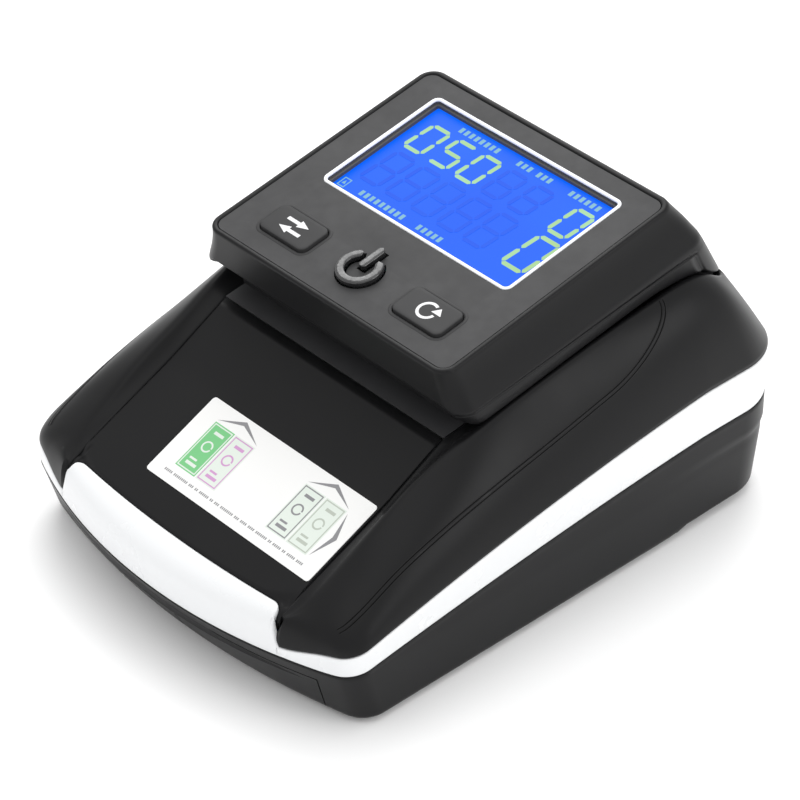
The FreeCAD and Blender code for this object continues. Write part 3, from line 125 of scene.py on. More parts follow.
def mesh_from(name, points, faces):
    """Mesh of millimetre points, with merged doubles and faces that look outwards."""
    mesh = bpy.data.meshes.new(name)
    mesh.from_pydata([Vector(point) * MM for point in points], [], faces)
    work = bmesh.new()
    work.from_mesh(mesh)
    bmesh.ops.remove_doubles(work, verts=work.verts, dist=MERGE_DISTANCE)
    bmesh.ops.dissolve_degenerate(work, edges=work.edges, dist=SLIVER_LENGTH)
    bmesh.ops.recalc_face_normals(work, faces=work.faces)
    work.to_mesh(mesh)
    work.free()
    mesh.shade_smooth()
    return mesh


def grid_mesh(name, rows, ring=False, loop=False, keep=None):
    """Quad mesh over rows of points; ring closes each row, loop joins the last row to the first."""
    width = len(rows[0])
    points = [point for row in rows for point in row]
    faces = []
    for r in range(len(rows) - (0 if loop else 1)):
        for c in range(width - (0 if ring else 1)):
            if keep and not keep(r, c):
                continue
            right, down = (c + 1) % width, (r + 1) % len(rows)
            faces.append((r * width + c, r * width + right, down * width + right, down * width + c))
    return mesh_from(name, points, faces)


def skin(name, rows, material, body, slot, nodes=(), **closed):
    """Piece made of rows of points."""
    return new_piece(name, grid_mesh(name, rows, **closed), material, body, nodes)


def sharpen(piece, angle=40):
    """Keep edges crisp where two faces meet at more than an angle in degrees."""
    piece.data.set_sharp_from_angle(angle=math.radians(angle))


# ---- materials ----

# Every material by its name, which is also the name of its slot in the record.
LOOKS = {}
COAT_ROUGHNESS = 0.08
NOISE_LOW, NOISE_HIGH = 0.3, 0.7
WEAR_LOW, WEAR_HIGH, WEAR_SCALE = 0.53, 0.62, 260
WEAR_GAIN, WEAR_LIFT = 1.5, 0.012
CLOUD_SCALE = 45
GRAIN_STRENGTH = 0.35


def node_material(name, colour, roughness, metallic=0.0, coat=0.0, specular=0.5):
    """New material with a Principled shader; gives the material, its node tree and the shader."""
    material = bpy.data.materials.new(name)
    LOOKS[name] = material
    material.use_nodes = True
    tree = material.node_tree
    shader = tree.nodes["Principled BSDF"]
    shader.inputs["Base Color"].default_value = (*colour, 1)
    shader.inputs["Roughness"].default_value = roughness
    shader.inputs["Metallic"].default_value = metallic
    shader.inputs["Coat Weight"].default_value = coat
    shader.inputs["Coat Roughness"].default_value = COAT_ROUGHNESS
    shader.inputs["Specular IOR Level"].default_value = specular
    return material, tree, shader


def add_node(tree, kind, values, links, **settings):
    """Shader node with its own settings, its socket values and the sources of its inputs."""
    node = tree.nodes.new("ShaderNode" + kind)
    for setting, value in settings.items():
        setattr(node, setting, value)
    for socket, value in values.items():
        node.inputs[socket].default_value = value
    for socket, source in links.items():
        tree.links.new(source, node.inputs[socket])
    return node


def object_place(tree):
    return add_node(tree, "TexCoord", {}, {}).outputs["Object"]


def add_noise(tree, scale, detail, stretch=(1, 1, 1)):
    mapping = add_node(tree, "Mapping", {"Scale": stretch}, {"Vector": object_place(tree)})
    noise = add_node(tree, "TexNoise", {"Scale": scale, "Detail": detail},
                     {"Vector": mapping.outputs["Vector"]})
    return noise.outputs["Fac"]


def add_range(tree, source, low, high, source_low=NOISE_LOW, source_high=NOISE_HIGH):
    """Source carried from its own usual span to another span."""
    limits = {"From Min": source_low, "From Max": source_high, "To Min": low, "To Max": high}
    return add_node(tree, "MapRange", limits, {"Value": source}).outputs["Result"]


def add_colour_mix(tree, share, first, second):
    blend = add_node(tree, "Mix", {"A": (*first, 1), "B": (*second, 1)}, {"Factor": share}, data_type="RGBA")
    return blend.outputs["Result"]


def add_edge_wear(tree):
    """Share that rises on worn outer edges, broken up by noise."""
    edges = add_node(tree, "NewGeometry", {}, {}).outputs["Pointiness"]
    rubbed = add_range(tree, edges, 0.0, 1.0, WEAR_LOW, WEAR_HIGH)
    product = add_node(tree, "Math", {}, {0: rubbed, 1: add_noise(tree, WEAR_SCALE, 3)}, operation="MULTIPLY")
    return product.outputs["Value"]


def add_bump(tree, shader, height, strength, distance):
    bump = add_node(tree, "Bump", {"Strength": strength, "Distance": distance}, {"Height": height})
    tree.links.new(bump.outputs["Normal"], shader.inputs["Normal"])


def moulded(name, colour, roughness, grain=2600, grain_depth=0.00001, spread=0.05, coat=0.0,
            specular=0.5, wear=True):
    """Moulded plastic: spark-eroded grain, cloudy gloss and edges rubbed a little lighter."""
    material, tree, shader = node_material(name, colour, roughness, 0.0, coat, specular)
    gloss = add_range(tree, add_noise(tree, CLOUD_SCALE, 5), roughness - spread, roughness + spread)
    tree.links.new(gloss, shader.inputs["Roughness"])
    if wear:
        pale = tuple(min(1.0, channel * WEAR_GAIN + WEAR_LIFT) for channel in colour)
        tree.links.new(add_colour_mix(tree, add_edge_wear(tree), colour, pale), shader.inputs["Base Color"])
    add_bump(tree, shader, add_noise(tree, grain, 3), GRAIN_STRENGTH, grain_depth)
    return material


def metal(name, colour, roughness, stretch=(1, 1, 1)):
    """Bare or plated metal with drawn streaks."""
    tree, shader = node_material(name, colour, roughness, 1.0)[1:]
    streak = add_noise(tree, 900, 4, stretch)
    tree.links.new(add_range(tree, streak, roughness - 0.08, roughness + 0.1), shader.inputs["Roughness"])
    dark = tuple(channel * 0.72 for channel in colour)
    tree.links.new(add_colour_mix(tree, streak, dark, colour), shader.inputs["Base Color"])
    add_bump(tree, shader, streak, 0.25, 0.00001)


def glowing(name, colour, second, strength, scale):
    """Lit surface whose glow drifts between two colours."""
    unlit = tuple(channel * 0.06 for channel in colour)
    material, tree, shader = node_material(name, unlit, 0.4, specular=0.12)
    glow = add_colour_mix(tree, add_noise(tree, scale, 2), colour, second)
    tree.links.new(glow, shader.inputs["Emission Color"])
    shader.inputs["Emission Strength"].default_value = strength
    return material


def clear(name):
    """Clear plastic with a slight haze."""
    tree, shader = node_material(name, (0.95, 0.97, 1.0), 0.05)[1:]
    shader.inputs["Transmission Weight"].default_value = 0.9
    shader.inputs["IOR"].default_value = 1.49
    tree.links.new(add_range(tree, add_noise(tree, 120, 3), 0.03, 0.09), shader.inputs["Roughness"])


BLACK = moulded("black_shell", (0.006, 0.006, 0.0065), 0.36, spread=0.04, specular=0.17)
WHITE = moulded("white_trim", (0.76, 0.77, 0.78), 0.28, 2200, 0.000006, coat=0.25)
FASCIA = moulded("fascia", (0.03, 0.03, 0.031), 0.6, 4200, specular=0.3)
KEY = moulded("key_black", (0.024, 0.024, 0.025), 0.55, 3400, specular=0.3)
SHADOW = moulded("groove_shadow", (0.0012, 0.0012, 0.0012), 0.8, specular=0.05)
WELL = moulded("display_well", (0.07, 0.07, 0.072), 0.6, 3400, wear=False)
BEZEL = moulded("display_bezel", (0.86, 0.87, 0.9), 0.3)
LABEL = moulded("label", (0.80, 0.80, 0.79), 0.42, 900, 0.000008, 0.06, wear=False)
moulded("component_black", (0.02, 0.02, 0.021), 0.5)
moulded("rubber_black", (0.018, 0.018, 0.018), 0.78, 1500, 0.00003, 0.06)
moulded("grey_nylon", (0.03, 0.03, 0.032), 0.5)
moulded("backlight_white", (0.8, 0.82, 0.85), 0.5, wear=False)
moulded("battery_wrap", (0.04, 0.13, 0.38), 0.25, 500, coat=0.4)
moulded("circuit_board", (0.015, 0.12, 0.05), 0.35, 1400, 0.00002, 0.08, coat=0.3)
metal("bright_steel", (0.62, 0.62, 0.64), 0.28, (0.1, 1, 1))
metal("zinc_sheet", (0.52, 0.54, 0.56), 0.38)
metal("bronze", (0.6, 0.38, 0.17), 0.42)
clear("clear_window")
LCD = glowing("lcd_blue", (0.0, 0.10, 1.0), (0.0, 0.17, 1.0), 0.9, 22)
SEGMENT = glowing("segment_glow", (0.40, 0.60, 0.20), (0.42, 0.78, 0.52), 0.95, 55)
GHOST = glowing("segment_ghost", (0.0, 0.08, 0.88), (0.0, 0.13, 0.92), 0.9, 40)
CAPTION = glowing("caption_glow", (0.22, 0.50, 0.66), (0.28, 0.56, 0.70), 0.9, 60)
PRINT = moulded("key_print", (0.72, 0.72, 0.73), 0.5, 3000, 0.000006, wear=False)
INKS = {"grey": (0.22, 0.22, 0.23), "green": (0.16, 0.5, 0.2), "violet": (0.55, 0.28, 0.52),
        "sage": (0.42, 0.46, 0.4), "pale": (0.66, 0.72, 0.66)}
for ink, tint in INKS.items():
    moulded("ink_" + ink, tint, 0.45, 1500, 0.000006, wear=False)


def hammered_black():
    """Glossy black of the power key, with the fine irregular facets of a cast surface."""
    material, tree, shader = node_material("power_key_gloss", (0.012, 0.012, 0.013), 0.16, 0.0, 0.6)
    lumps = add_node(tree, "TexVoronoi", {"Scale": 900}, {"Vector": object_place(tree)}).outputs["Distance"]
    tree.links.new(add_range(tree, lumps, 0.1, 0.34), shader.inputs["Roughness"])
    add_bump(tree, shader, lumps, 0.6, 0.00012)
    return material


POWER = hammered_black()

for subpart in frame["record"]["subparts"]:
    for holder in frame["nodes"][subpart["node"]].material_slots:
        holder.material = LOOKS[subpart["material_slot"]]


# ---- outline and seams of the body ----

BOW_RADIUS = 157.0
FRONT_CORNER = 8.0
REAR_CORNER = 18.6
BOW_COUNT, CORNER_COUNT, SIDE_COUNT, REAR_CORNER_COUNT, REAR_COUNT = 60, 14, 40, 20, 12
# Gap between two shells, the share of it on each side of a seam, and the seams' places.
SEAM, SEAM_HALF = 0.3, 0.15
SEAM_START, SEAM_MIDDLE, SEAM_END = -76.0, -14.0, 52.0
SEAM_SHARE = 0.6
TRIM_LOW_REAR, TRIM_HIGH_FRONT = 31.0, 24.4
# The feed tray's fold, its floor and the note path behind it.
TRAY_THICKNESS = 2.0
FOLD_Y, FOLD_RISE = -42.5, 46.6
TRAY_SLOPE = (FOLD_RISE - TRAY_LOW.z - TRAY_THICKNESS) / (FOLD_Y - TRAY_LOW.y)
PATH_SLOPE = math.tan(math.radians(8.3))


def arc_steps(centre, radius, angles):
    """Steps along an arc, one for each angle between the outward direction and straight forward."""
    ways = [Vector((math.sin(angle), -math.cos(angle), 0)) for angle in angles]
    return [(centre + out * radius, out) for out in ways]


def outline_steps(half, front, rear, bow, front_corner, rear_corner):
    """Right half of the level outline from the front middle to the rear middle, as (point, outward)."""
    bow_centre = front + bow
    corner_x = half - front_corner
    corner_y = bow_centre - math.sqrt((bow - front_corner) ** 2 - corner_x ** 2)
    bow_angle = math.asin(corner_x / (bow - front_corner))
    steps = arc_steps(Vector((0, bow_centre, 0)), bow,
                      [bow_angle * number / BOW_COUNT for number in range(BOW_COUNT)])
    steps += arc_steps(Vector((corner_x, corner_y, 0)), front_corner,
                       [mix(bow_angle, math.pi / 2, number / CORNER_COUNT) for number in range(CORNER_COUNT)])
    back_y = rear - rear_corner
    for number in range(SIDE_COUNT):
        steps.append((Vector((half, mix(corner_y, back_y, number / SIDE_COUNT), 0)), Vector((1, 0, 0))))
    for number in range(REAR_CORNER_COUNT):
        angle = math.pi / 2 * number / REAR_CORNER_COUNT
        out = Vector((math.cos(angle), math.sin(angle), 0))
        steps.append((Vector((half - rear_corner, back_y, 0)) + out * rear_corner, out))
    for number in range(REAR_COUNT + 1):
        x = mix(half - rear_corner, 0, number / REAR_COUNT)
        steps.append((Vector((x, rear, 0)), Vector((0, 1, 0))))
    return steps


def both_sides(rows):
    """Rows of the right half from front middle to rear middle, carried on round the left half."""
    return rows + [mirror(row) for row in reversed(rows[1:-1])]


BODY_STEPS = outline_steps(HALF_WIDTH, FRONT, REAR, BOW_RADIUS, FRONT_CORNER, REAR_CORNER)


def seam_rise(y, front_rise, rear_rise):
    """Rise of a seam that is level at the front, then climbs in one long arc to the back."""
    start, end = SEAM_START, SEAM_END
    if y <= start:
        return front_rise
    if y >= end:
        return rear_rise
    ax, ay = SEAM_MIDDLE - start, mix(front_rise, rear_rise, SEAM_SHARE) - front_rise
    bx, by = end - start, rear_rise - front_rise
    scale = 2 * (ax * by - ay * bx)
    centre_y = start + (by * (ax * ax + ay * ay) - ay * (bx * bx + by * by)) / scale
    centre_z = front_rise + (ax * (bx * bx + by * by) - bx * (ax * ax + ay * ay)) / scale
    radius = math.hypot(start - centre_y, front_rise - centre_z)
    bend = -1 if centre_z > front_rise else 1
    return centre_z + bend * math.sqrt(radius ** 2 - (y - centre_y) ** 2)


def trim_low(y):
    return seam_rise(y, TRIM_LOW.z, TRIM_LOW_REAR)


def trim_high(y):
    return seam_rise(y, TRIM_HIGH_FRONT, TRIM_HIGH.z)


def floor_rise(y):
    """Rise of the feed tray and note path at a Y."""
    if y < FOLD_Y:
        return TRAY_LOW.z + TRAY_THICKNESS + (y - TRAY_LOW.y) * TRAY_SLOPE
    if y < PATH_FRONT:
        return mix(FOLD_RISE, PATH_RISE, (y - FOLD_Y) / (PATH_FRONT - FOLD_Y))
    return PATH_RISE + (y - PATH_FRONT) * PATH_SLOPE


# ---- white trim band with the lip of the tray ----

# The lip across the front: its ends, the fall beside them, its crown and its bowed inner edge.
LIP_END = 40.9
LIP_CORNER = 3.4
LIP_FALL_START, LIP_FALL_END = LIP_END - 0.9, 43.5
LIP_TOP = 31.0
LIP_BACK = -77.9
LIP_BOW, LIP_BOW_HALF = 1.9, 37.0
DIP, DIP_END = 2.7, 58.0
# The band's rounded edge, the start of its bevel, its swell and its depth.
EDGE, BEVEL = 0.45, 0.13
SWELL, FACE_COUNT = 0.12, 6
BAND_DEPTH = 2.2
# The lip's bull nose: how high its foot stands, how far its crown stays level, its turn.
NOSE_FOOT, NOSE_SHARE, CROWN_RUN, NOSE_COUNT = 4.6, 0.7, 0.6, 8
FINE_END, COARSE_START = 55.0, 55.2


def lip_back(x):
    """Y of the lip's inner edge, which bows less than the front and rounds off at its ends."""
    bow = LIP_BACK + LIP_BOW * (min(abs(x), LIP_END) / LIP_BOW_HALF) ** 2
    turn = clamp((abs(x) - LIP_END + LIP_CORNER) / LIP_CORNER)
    return bow - LIP_CORNER * (1 - math.sqrt(1 - turn ** 2))


def band_high(point):
    """Rise of the band's upper edge, which dips where it leaves the lip."""
    dip = DIP * (1 - smooth_step(abs(point.x), LIP_FALL_END, DIP_END)) if point.y < 0 else 0.0
    return trim_high(point.y) - dip


def lip_top(x):
    """Rise of the lip's crown, with a steep fall at its ends."""
    return mix(LIP_TOP, trim_high(FRONT) - DIP, smooth_step(abs(x), LIP_FALL_START, LIP_FALL_END))


def band_section(point, out):
    """Cross-section of the plain band: outer face, rounded edges and a return inwards."""
    low = trim_low(point.y) + SEAM_HALF
    high = band_high(point) - SEAM_HALF
    places = [(-BAND_DEPTH, low), (-EDGE, low), (-BEVEL, low + BEVEL), (0, low + EDGE)]
    for number in range(1, FACE_COUNT):
        share = number / FACE_COUNT
        places.append((SWELL * math.sin(math.pi * share), mix(low + EDGE, high - EDGE, share)))
    places += [(0, high - EDGE), (-BEVEL, high - BEVEL), (-EDGE, high), (-1.2, high),
               (-BAND_DEPTH, high - 0.2), (-BAND_DEPTH - 0.1, high - 1.5)]
    return [Vector((point.x, point.y, 0)) + out * reach + up(z) for reach, z in places]


def lip_section(point):
    """Cross-section of the lip: upright foot, bull nose, flat crown and a step down to the tray."""
    low = trim_low(point.y) + SEAM_HALF
    top = lip_top(point.x)
    back = Vector((point.x, lip_back(point.x), top))
    front = Vector((point.x, point.y, 0))
    foot = ((BAND_DEPTH, low), (EDGE, low), (BEVEL, low + BEVEL), (0, low + EDGE), (0.02, low + 2.6))
    rows = [front + Vector((0, y, z)) for y, z in foot]
    depth = back.y - point.y - CROWN_RUN
    base = min(low + NOSE_FOOT, mix(low, top, NOSE_SHARE))
    for number in range(NOSE_COUNT):
        angle = math.pi / 2 * number / (NOSE_COUNT - 1)
        rows.append(front + Vector((0, depth * (1 - math.cos(angle)) ** 1.05,
                                    base + (top - base) * math.sin(angle) ** 0.95)))
    rows += [back + Vector((0, -0.25, -0.12)), back + Vector((0, -0.05, -1.5))]
    return rows


def trim_rows():
    rows = []
    for point, out in fine_front_steps():
        on_lip = point.y < 0 and abs(point.x) < LIP_FALL_END
        rows.append(lip_section(point) if on_lip else band_section(point, out))
    return both_sides(rows)


def fine_front_steps():
    """Body outline with extra steps where the lip ends."""
    flat_end = LIP_END - LIP_CORNER
    places = [flat_end * number / 24 for number in range(24)]
    places += [flat_end + LIP_CORNER * math.sin(math.pi / 2 * number / 10) for number in range(10)]
    places += [mix(LIP_END, LIP_FALL_END, number / 8) for number in range(8)]
    places += [mix(LIP_FALL_END, FINE_END, number / 9) for number in range(10)]
    dense = arc_steps(Vector((0, FRONT + BOW_RADIUS, 0)), BOW_RADIUS,
                      [math.asin(x / BOW_RADIUS) for x in places])
    return dense + [step for step in BODY_STEPS if step[0].x > COARSE_START or step[0].y > 0]


skin("trim_band_skin", trim_rows(), WHITE, "body", "white_trim", ["trim_band"], loop=True)


# ---- upper shell ----

# Lines of the right arm from the lip's end to the middle of the back: the foot's place on the outline,
# the shoulder, and the crest.
ARM_ROWS = [
    ((43.6, -80.3), (43.9, -79.5, 28.0), (44.0, -77.8, 30.3)),
    ((47.5, -79.0), (47.3, -77.9, 28.9), (45.6, -75.6, 31.3)),
    ((53.0, -77.2), (52.2, -75.7, 29.6), (46.7, -72.6, 32.9)),
    ((59.5, -74.8), (57.2, -72.9, 30.9), (47.0, -68.0, 35.8)),
    ((63.2, -70.6), (58.7, -66.6, 33.9), (47.0, -60.6, 40.2)),
    ((64.0, -54.0), (58.7, -52.4, 40.3), (47.0, -50.6, 46.3)),
    ((64.0, -36.0), (58.7, -36.0, 45.4), (47.0, -36.0, 53.7)),
    ((64.0, -20.0), (58.7, -20.0, 49.2), (48.7, -20.0, 60.3)),
    ((64.0, 0.0), (58.7, 0.0, 53.4), (50.3, 0.0, 65.7)),
    ((64.0, 22.0), (58.7, 22.0, 58.4), (50.6, 22.0, 69.6)),
    ((64.0, 42.0), (58.7, 42.0, 62.6), (50.6, 42.0, 72.1)),
    ((64.0, 57.0), (58.6, 56.0, 64.4), (50.6, 54.5, 73.1)),
    ((63.4, 71.6), (58.0, 66.5, 63.0), (50.5, 63.0, 71.4)),
    ((58.6, 80.9), (54.6, 75.0, 58.5), (49.4, 70.6, 66.9)),
    ((50.5, 85.6), (48.2, 80.0, 55.6), (45.0, 75.4, 64.4)),
    ((38.0, 86.5), (37.5, 81.0, 55.0), (37.0, 76.4, 63.9)),
    ((19.0, 86.5), (19.0, 81.0, 55.0), (19.0, 76.5, 63.9)),
    ((0.0, 86.5), (0.0, 81.0, 55.0), (0.0, 76.5, 63.9)),
]
# Places along ARM_ROWS between which the arm turns into the back.
TURN_START, TURN_END = 11.0, 13.4
ROWS_PER_SPAN = 12
ARM_COLUMNS = 26
FIRST_SHARE, LAST_SHARE = 0.03, 0.955
# The edge along the seam: how far in from the outline, how far up.
ARM_FOOT = ((1.9, -2.5), (1.2, 0), (0.3, 0), (0.06, 0.12))
WALL_COUNT = 7
WALL_SAG, SAG_FROM = 0.35, 20


def nearest_on_outline(target):
    """Point and outward direction of the body outline nearest to a plan point."""
    best = min(range(len(BODY_STEPS)), key=lambda i: (BODY_STEPS[i][0] - target).length)
    found = (BODY_STEPS[best][0], BODY_STEPS[best][1])
    distance = (found[0] - target).length
    for other in (best - 1, best + 1):
        if not 0 <= other < len(BODY_STEPS):
            continue
        start, end = BODY_STEPS[best], BODY_STEPS[other]
        edge = end[0] - start[0]
        share = clamp((target - start[0]).dot(edge) / edge.length_squared)
        spot = start[0] + edge * share
        if (spot - target).length < distance - 1e-9:
            distance = (spot - target).length
            found = (spot, (start[1] * (1 - share) + end[1] * share).normalized())
    return found


def arm_curve(place):
    """Curve over the arm at a place along ARM_ROWS: foot, pull, crest and the foot's outward way."""
    feet = [Vector((*row[0], 0)) for row in ARM_ROWS]
    foot, out = nearest_on_outline(along(feet, place))
    shoulder = along([Vector(row[1]) for row in ARM_ROWS], place)
    crest = along([Vector(row[2]) for row in ARM_ROWS], place)
    foot = Vector((foot.x, foot.y, band_high(foot) + SEAM_HALF))
    return foot, shoulder * 2 - (foot + crest) * 0.5, crest, out


def curve_spot(foot, pull, crest, share):
    """Point at a share of the way over the arm, foot 0 and crest 1."""
    return foot * (1 - share) ** 2 + pull * (2 * share * (1 - share)) + crest * share ** 2


# The crest's rounding: its most, its share of the wall's fall, and where it is stepped.
CREST_ROUND, CREST_SHARE, CREST_STEPS = 1.1, 0.25, (0.35, 0.65)


def arm_row(place):
    """One line of points over the arm at a place along ARM_ROWS: seam, outer face, crest, inner wall."""
    foot, pull, crest, out = arm_curve(place)
    columns = [foot - out * sink + up(rise) for sink, rise in ARM_FOOT]
    for number in range(ARM_COLUMNS + 1):
        columns.append(curve_spot(foot, pull, crest, mix(FIRST_SHARE, LAST_SHARE, number / ARM_COLUMNS)))
    inner = inner_foot(crest, place)
    fall = inner - crest
    inside = crest + fall.normalized() * min(CREST_ROUND, fall.length * CREST_SHARE)
    outside = columns[-1]
    columns += [curve_spot(outside, crest, inside, share) for share in CREST_STEPS]
    columns.append(inside)
    for number in range(1, WALL_COUNT + 1):
        share = number / WALL_COUNT
        sag = WALL_SAG * math.sin(math.pi * share) * min(1.0, fall.length / 10)
        columns.append(mix(inside, inner, share) + Vector((sag, 0, -sag)) * (1 if crest.x > SAG_FROM else 0))
    columns.append(inner + Vector((0.02, 0, -2.2)))
    return columns


def inner_foot(crest, place):
    """Where the inner wall of the arm, or of the back, ends."""
    behind = smooth_step(place, TURN_START, TURN_END)
    x = mix(THROAT, crest.x * 0.93, behind)
    y = crest.y - 1.4 * behind
    rise = mix(floor_rise(crest.y) - 0.15, crest.z - 5.0, behind)
    return Vector((min(x, THROAT), y, min(rise, crest.z - 0.25)))


def upper_rows():
    """Rows from the left lip end round the back to the right lip end, each end closed by a cap."""
    total = (len(ARM_ROWS) - 1) * ROWS_PER_SPAN
    right = [arm_row(number / ROWS_PER_SPAN) for number in range(total + 1)]
    cap = [point.lerp(Vector((THROAT - 1.2, point.y + 0.6, 24.0)), 0.8) for point in right[0]]
    right.insert(0, cap)
    return right + [mirror(row) for row in reversed(right[:-1])]


skin("upper_shell_skin", upper_rows(), BLACK, "body", "black_shell", ["upper_shell"])


# ---- double line along each arm ----

LINE_SHARE, LINE_LAST_SHARE = 0.5, 0.97
LINE_START, BEND_START, BEND_END = -72.5, 20.0, 45.6
BEND_ANGLE = math.radians(88)
STRAIGHT_COUNT, BEND_COUNT = 70, 44
# Profiles across the line: how far across, how far off the arm's face.
LINE_EDGE = ((-1.0, -0.15), (-0.86, 0.05), (-0.74, 0.06), (-0.68, -0.15))
LINE_BEAD = ((-0.46, -0.15), (-0.38, 0.06), (-0.2, 0.10), (0.0, 0.11), (0.2, 0.10), (0.38, 0.06),
             (0.46, -0.15))
LINE_GAP = ((-0.72, -0.15), (-0.68, 0.03), (-0.44, 0.03), (-0.4, -0.15))


def place_at(y):
    """Place along ARM_ROWS at which the shoulder line has a given Y."""
    shoulders = [Vector(row[1]) for row in ARM_ROWS]
    low, high = 0.0, TURN_START
    for _ in range(30):
        middle = (low + high) / 2
        if along(shoulders, middle).y < y:
            low = middle
        else:
            high = middle
    return low


def line_path():
    """Places and shares of the line: level along the arm, then a quarter turn up to the crest."""
    path = []
    for number in range(STRAIGHT_COUNT):
        path.append((place_at(mix(LINE_START, BEND_START, number / STRAIGHT_COUNT)), LINE_SHARE))
    for number in range(BEND_COUNT + 1):
        angle = BEND_ANGLE * number / BEND_COUNT
        y = BEND_START + (BEND_END - BEND_START) * math.sin(angle)
        path.append((place_at(y), LINE_SHARE + (LINE_LAST_SHARE - LINE_SHARE) * (1 - math.cos(angle))))
    return path


def line_frames():
    """Position, way across and outward way at each step of the line."""
    def spot(place, share):
        foot, pull, crest, _ = arm_curve(place)
        return curve_spot(foot, pull, crest, share)

    path = line_path()
    spots = [spot(*step) for step in path]
    frames = []
    for number, (place, share) in enumerate(path):
        ahead = spots[min(number + 1, len(path) - 1)] - spots[max(number - 1, 0)]
        along_arm = spot(place + 0.02, share) - spot(place - 0.02, share)
        over_arm = spot(place, share + 0.01) - spot(place, share - 0.01)
        normal = along_arm.cross(over_arm).normalized()
        frames.append((spots[number], ahead.cross(normal).normalized(), normal))
    return frames


def make_line(name, side, profile, turn, material):
    """Ribbon of one profile along the line; side -1 is the left arm, turn -1 flips the profile."""
    rows = []
    for spot, across, normal in LINE_FRAMES:
        row = [spot + across * (turn * step) + normal * rise for step, rise in profile]
        rows.append(mirror(row) if side < 0 else row)
    skin(name, rows, material, "body", "black_shell")


LINE_FRAMES = line_frames()
for label, side in (("left", -1), ("right", 1)):
    make_line("arm_line_bead_" + label, side, LINE_BEAD, 1, BLACK)
    for number, turn in enumerate((1, -1)):
        ending = "_%s_%d" % (label, number)
        make_line("arm_line_edge" + ending, side, LINE_EDGE, turn, BLACK)
        make_line("arm_line_gap" + ending, side, LINE_GAP, turn, SHADOW)


# ---- feed tray ----

PROW_DEPTH = 6.4
FOLD_HALF = 2.6
# The tray's front edge: its gap to the lip, its rounded run, its drop, and how far it stays under the prow.
EDGE_GAP, EDGE_RUN, EDGE_FOOT, UNDER_PROW = 0.25, 0.5, 3.0, 0.1
SLOPE_COUNT, FOLD_COUNT, RAMP_COUNT, TRAY_COUNT = 22, 8, 6, 64
RIM_FALL, RIM_WIDTH, SKIRT = 0.18, 0.35, 1.6


def prow_rise(x, y):
    """Rise of the rounded prow beside the lip's ends."""
    bow = FRONT + BOW_RADIUS - math.sqrt(BOW_RADIUS ** 2 - x ** 2)
    share = clamp((y - bow) / PROW_DEPTH)
    past = max(0.0, y - bow - PROW_DEPTH)
    return mix(trim_high(FRONT) - DIP, LIP_TOP, math.sqrt(1 - (1 - share) ** 2)) + past


def tray_rise(x, y):
    """Rise of the tray's floor, kept under the prow beside the lip's ends."""
    return min(floor_rise(y), prow_rise(x, y) - UNDER_PROW)


def tray_profile(x):
    """Line down the tray at an X: lip edge, sloping floor, soft fold, ramp into the throat."""
    front = lip_back(x) + EDGE_GAP
    start = front + EDGE_RUN
    edge = tray_rise(x, front)
    points = [Vector((x, front, edge - EDGE_FOOT)), Vector((x, front, edge - 0.5)),
              Vector((x, front + 0.15, edge - 0.12)), Vector((x, start, tray_rise(x, start)))]
    for number in range(1, SLOPE_COUNT + 1):
        y = mix(start, FOLD_Y - FOLD_HALF, (number / SLOPE_COUNT) ** 1.5)
        points.append(Vector((x, y, tray_rise(x, y))))
    low_end, high_end = (Vector((x, y, floor_rise(y))) for y in (FOLD_Y - FOLD_HALF, FOLD_Y + FOLD_HALF))
    for number in range(1, FOLD_COUNT + 1):
        points.append(curve_spot(low_end, Vector((x, FOLD_Y, FOLD_RISE)), high_end, number / FOLD_COUNT))
    for number in range(1, RAMP_COUNT + 1):
        y = mix(FOLD_Y + FOLD_HALF, PATH_FRONT - TRAY_GAP, number / RAMP_COUNT)
        points.append(Vector((x, y, floor_rise(y))))
    points.append(Vector((x, PATH_FRONT - TRAY_GAP, PATH_RISE - TRAY_THICKNESS)))
    return points


def tray_rows():
    """Lines down the tray from left to right, with a rounded rim and a skirt at each side."""
    half = THROAT - 0.12
    rows = [tray_profile(half * math.sin(math.pi / 2 * mix(-1, 1, number / TRAY_COUNT)))
            for number in range(TRAY_COUNT + 1)]
    for index, side in ((0, -1), (-1, 1)):
        rim = [point + up(-RIM_FALL) for point in rows[index]]
        inner = [Vector((side * (half - RIM_WIDTH), point.y, point.z + RIM_FALL)) for point in rim]
        skirt = [point + up(-SKIRT) for point in rim]
        rows = [skirt, rim, inner] + rows[1:] if index == 0 else rows[:-1] + [inner, rim, skirt]
    return rows


skin("feed_tray_skin", tray_rows(), BLACK, "body", "black_shell", ["feed_tray"])


# ---- lower shell and battery door ----

DOOR_LOW, DOOR_HIGH = span("battery_door")
DOOR_GAP, DOOR_SINK, DOOR_THICKNESS, DOOR_COUNT = 0.4, 0.12, 1.8, 14
FRAME_DEPTH = 2.0
FOOT_STEPS = outline_steps(HALF_WIDTH - 0.6, FRONT + 9.0, REAR - 3.0, 230.0, FRONT_CORNER,
                           REAR_CORNER - 2.0)
FOOT_ROUND, FOOT_LIFT, CREASE = 1.6, 2.0, 0.55
TUB_COUNT = 26
# The shell's edge under the trim band: how far in from the wall, how far up.
SHELL_LIP = ((0.12, 0.12), (1.0, 0.15), (2.2, 0.1), (2.2, -6))


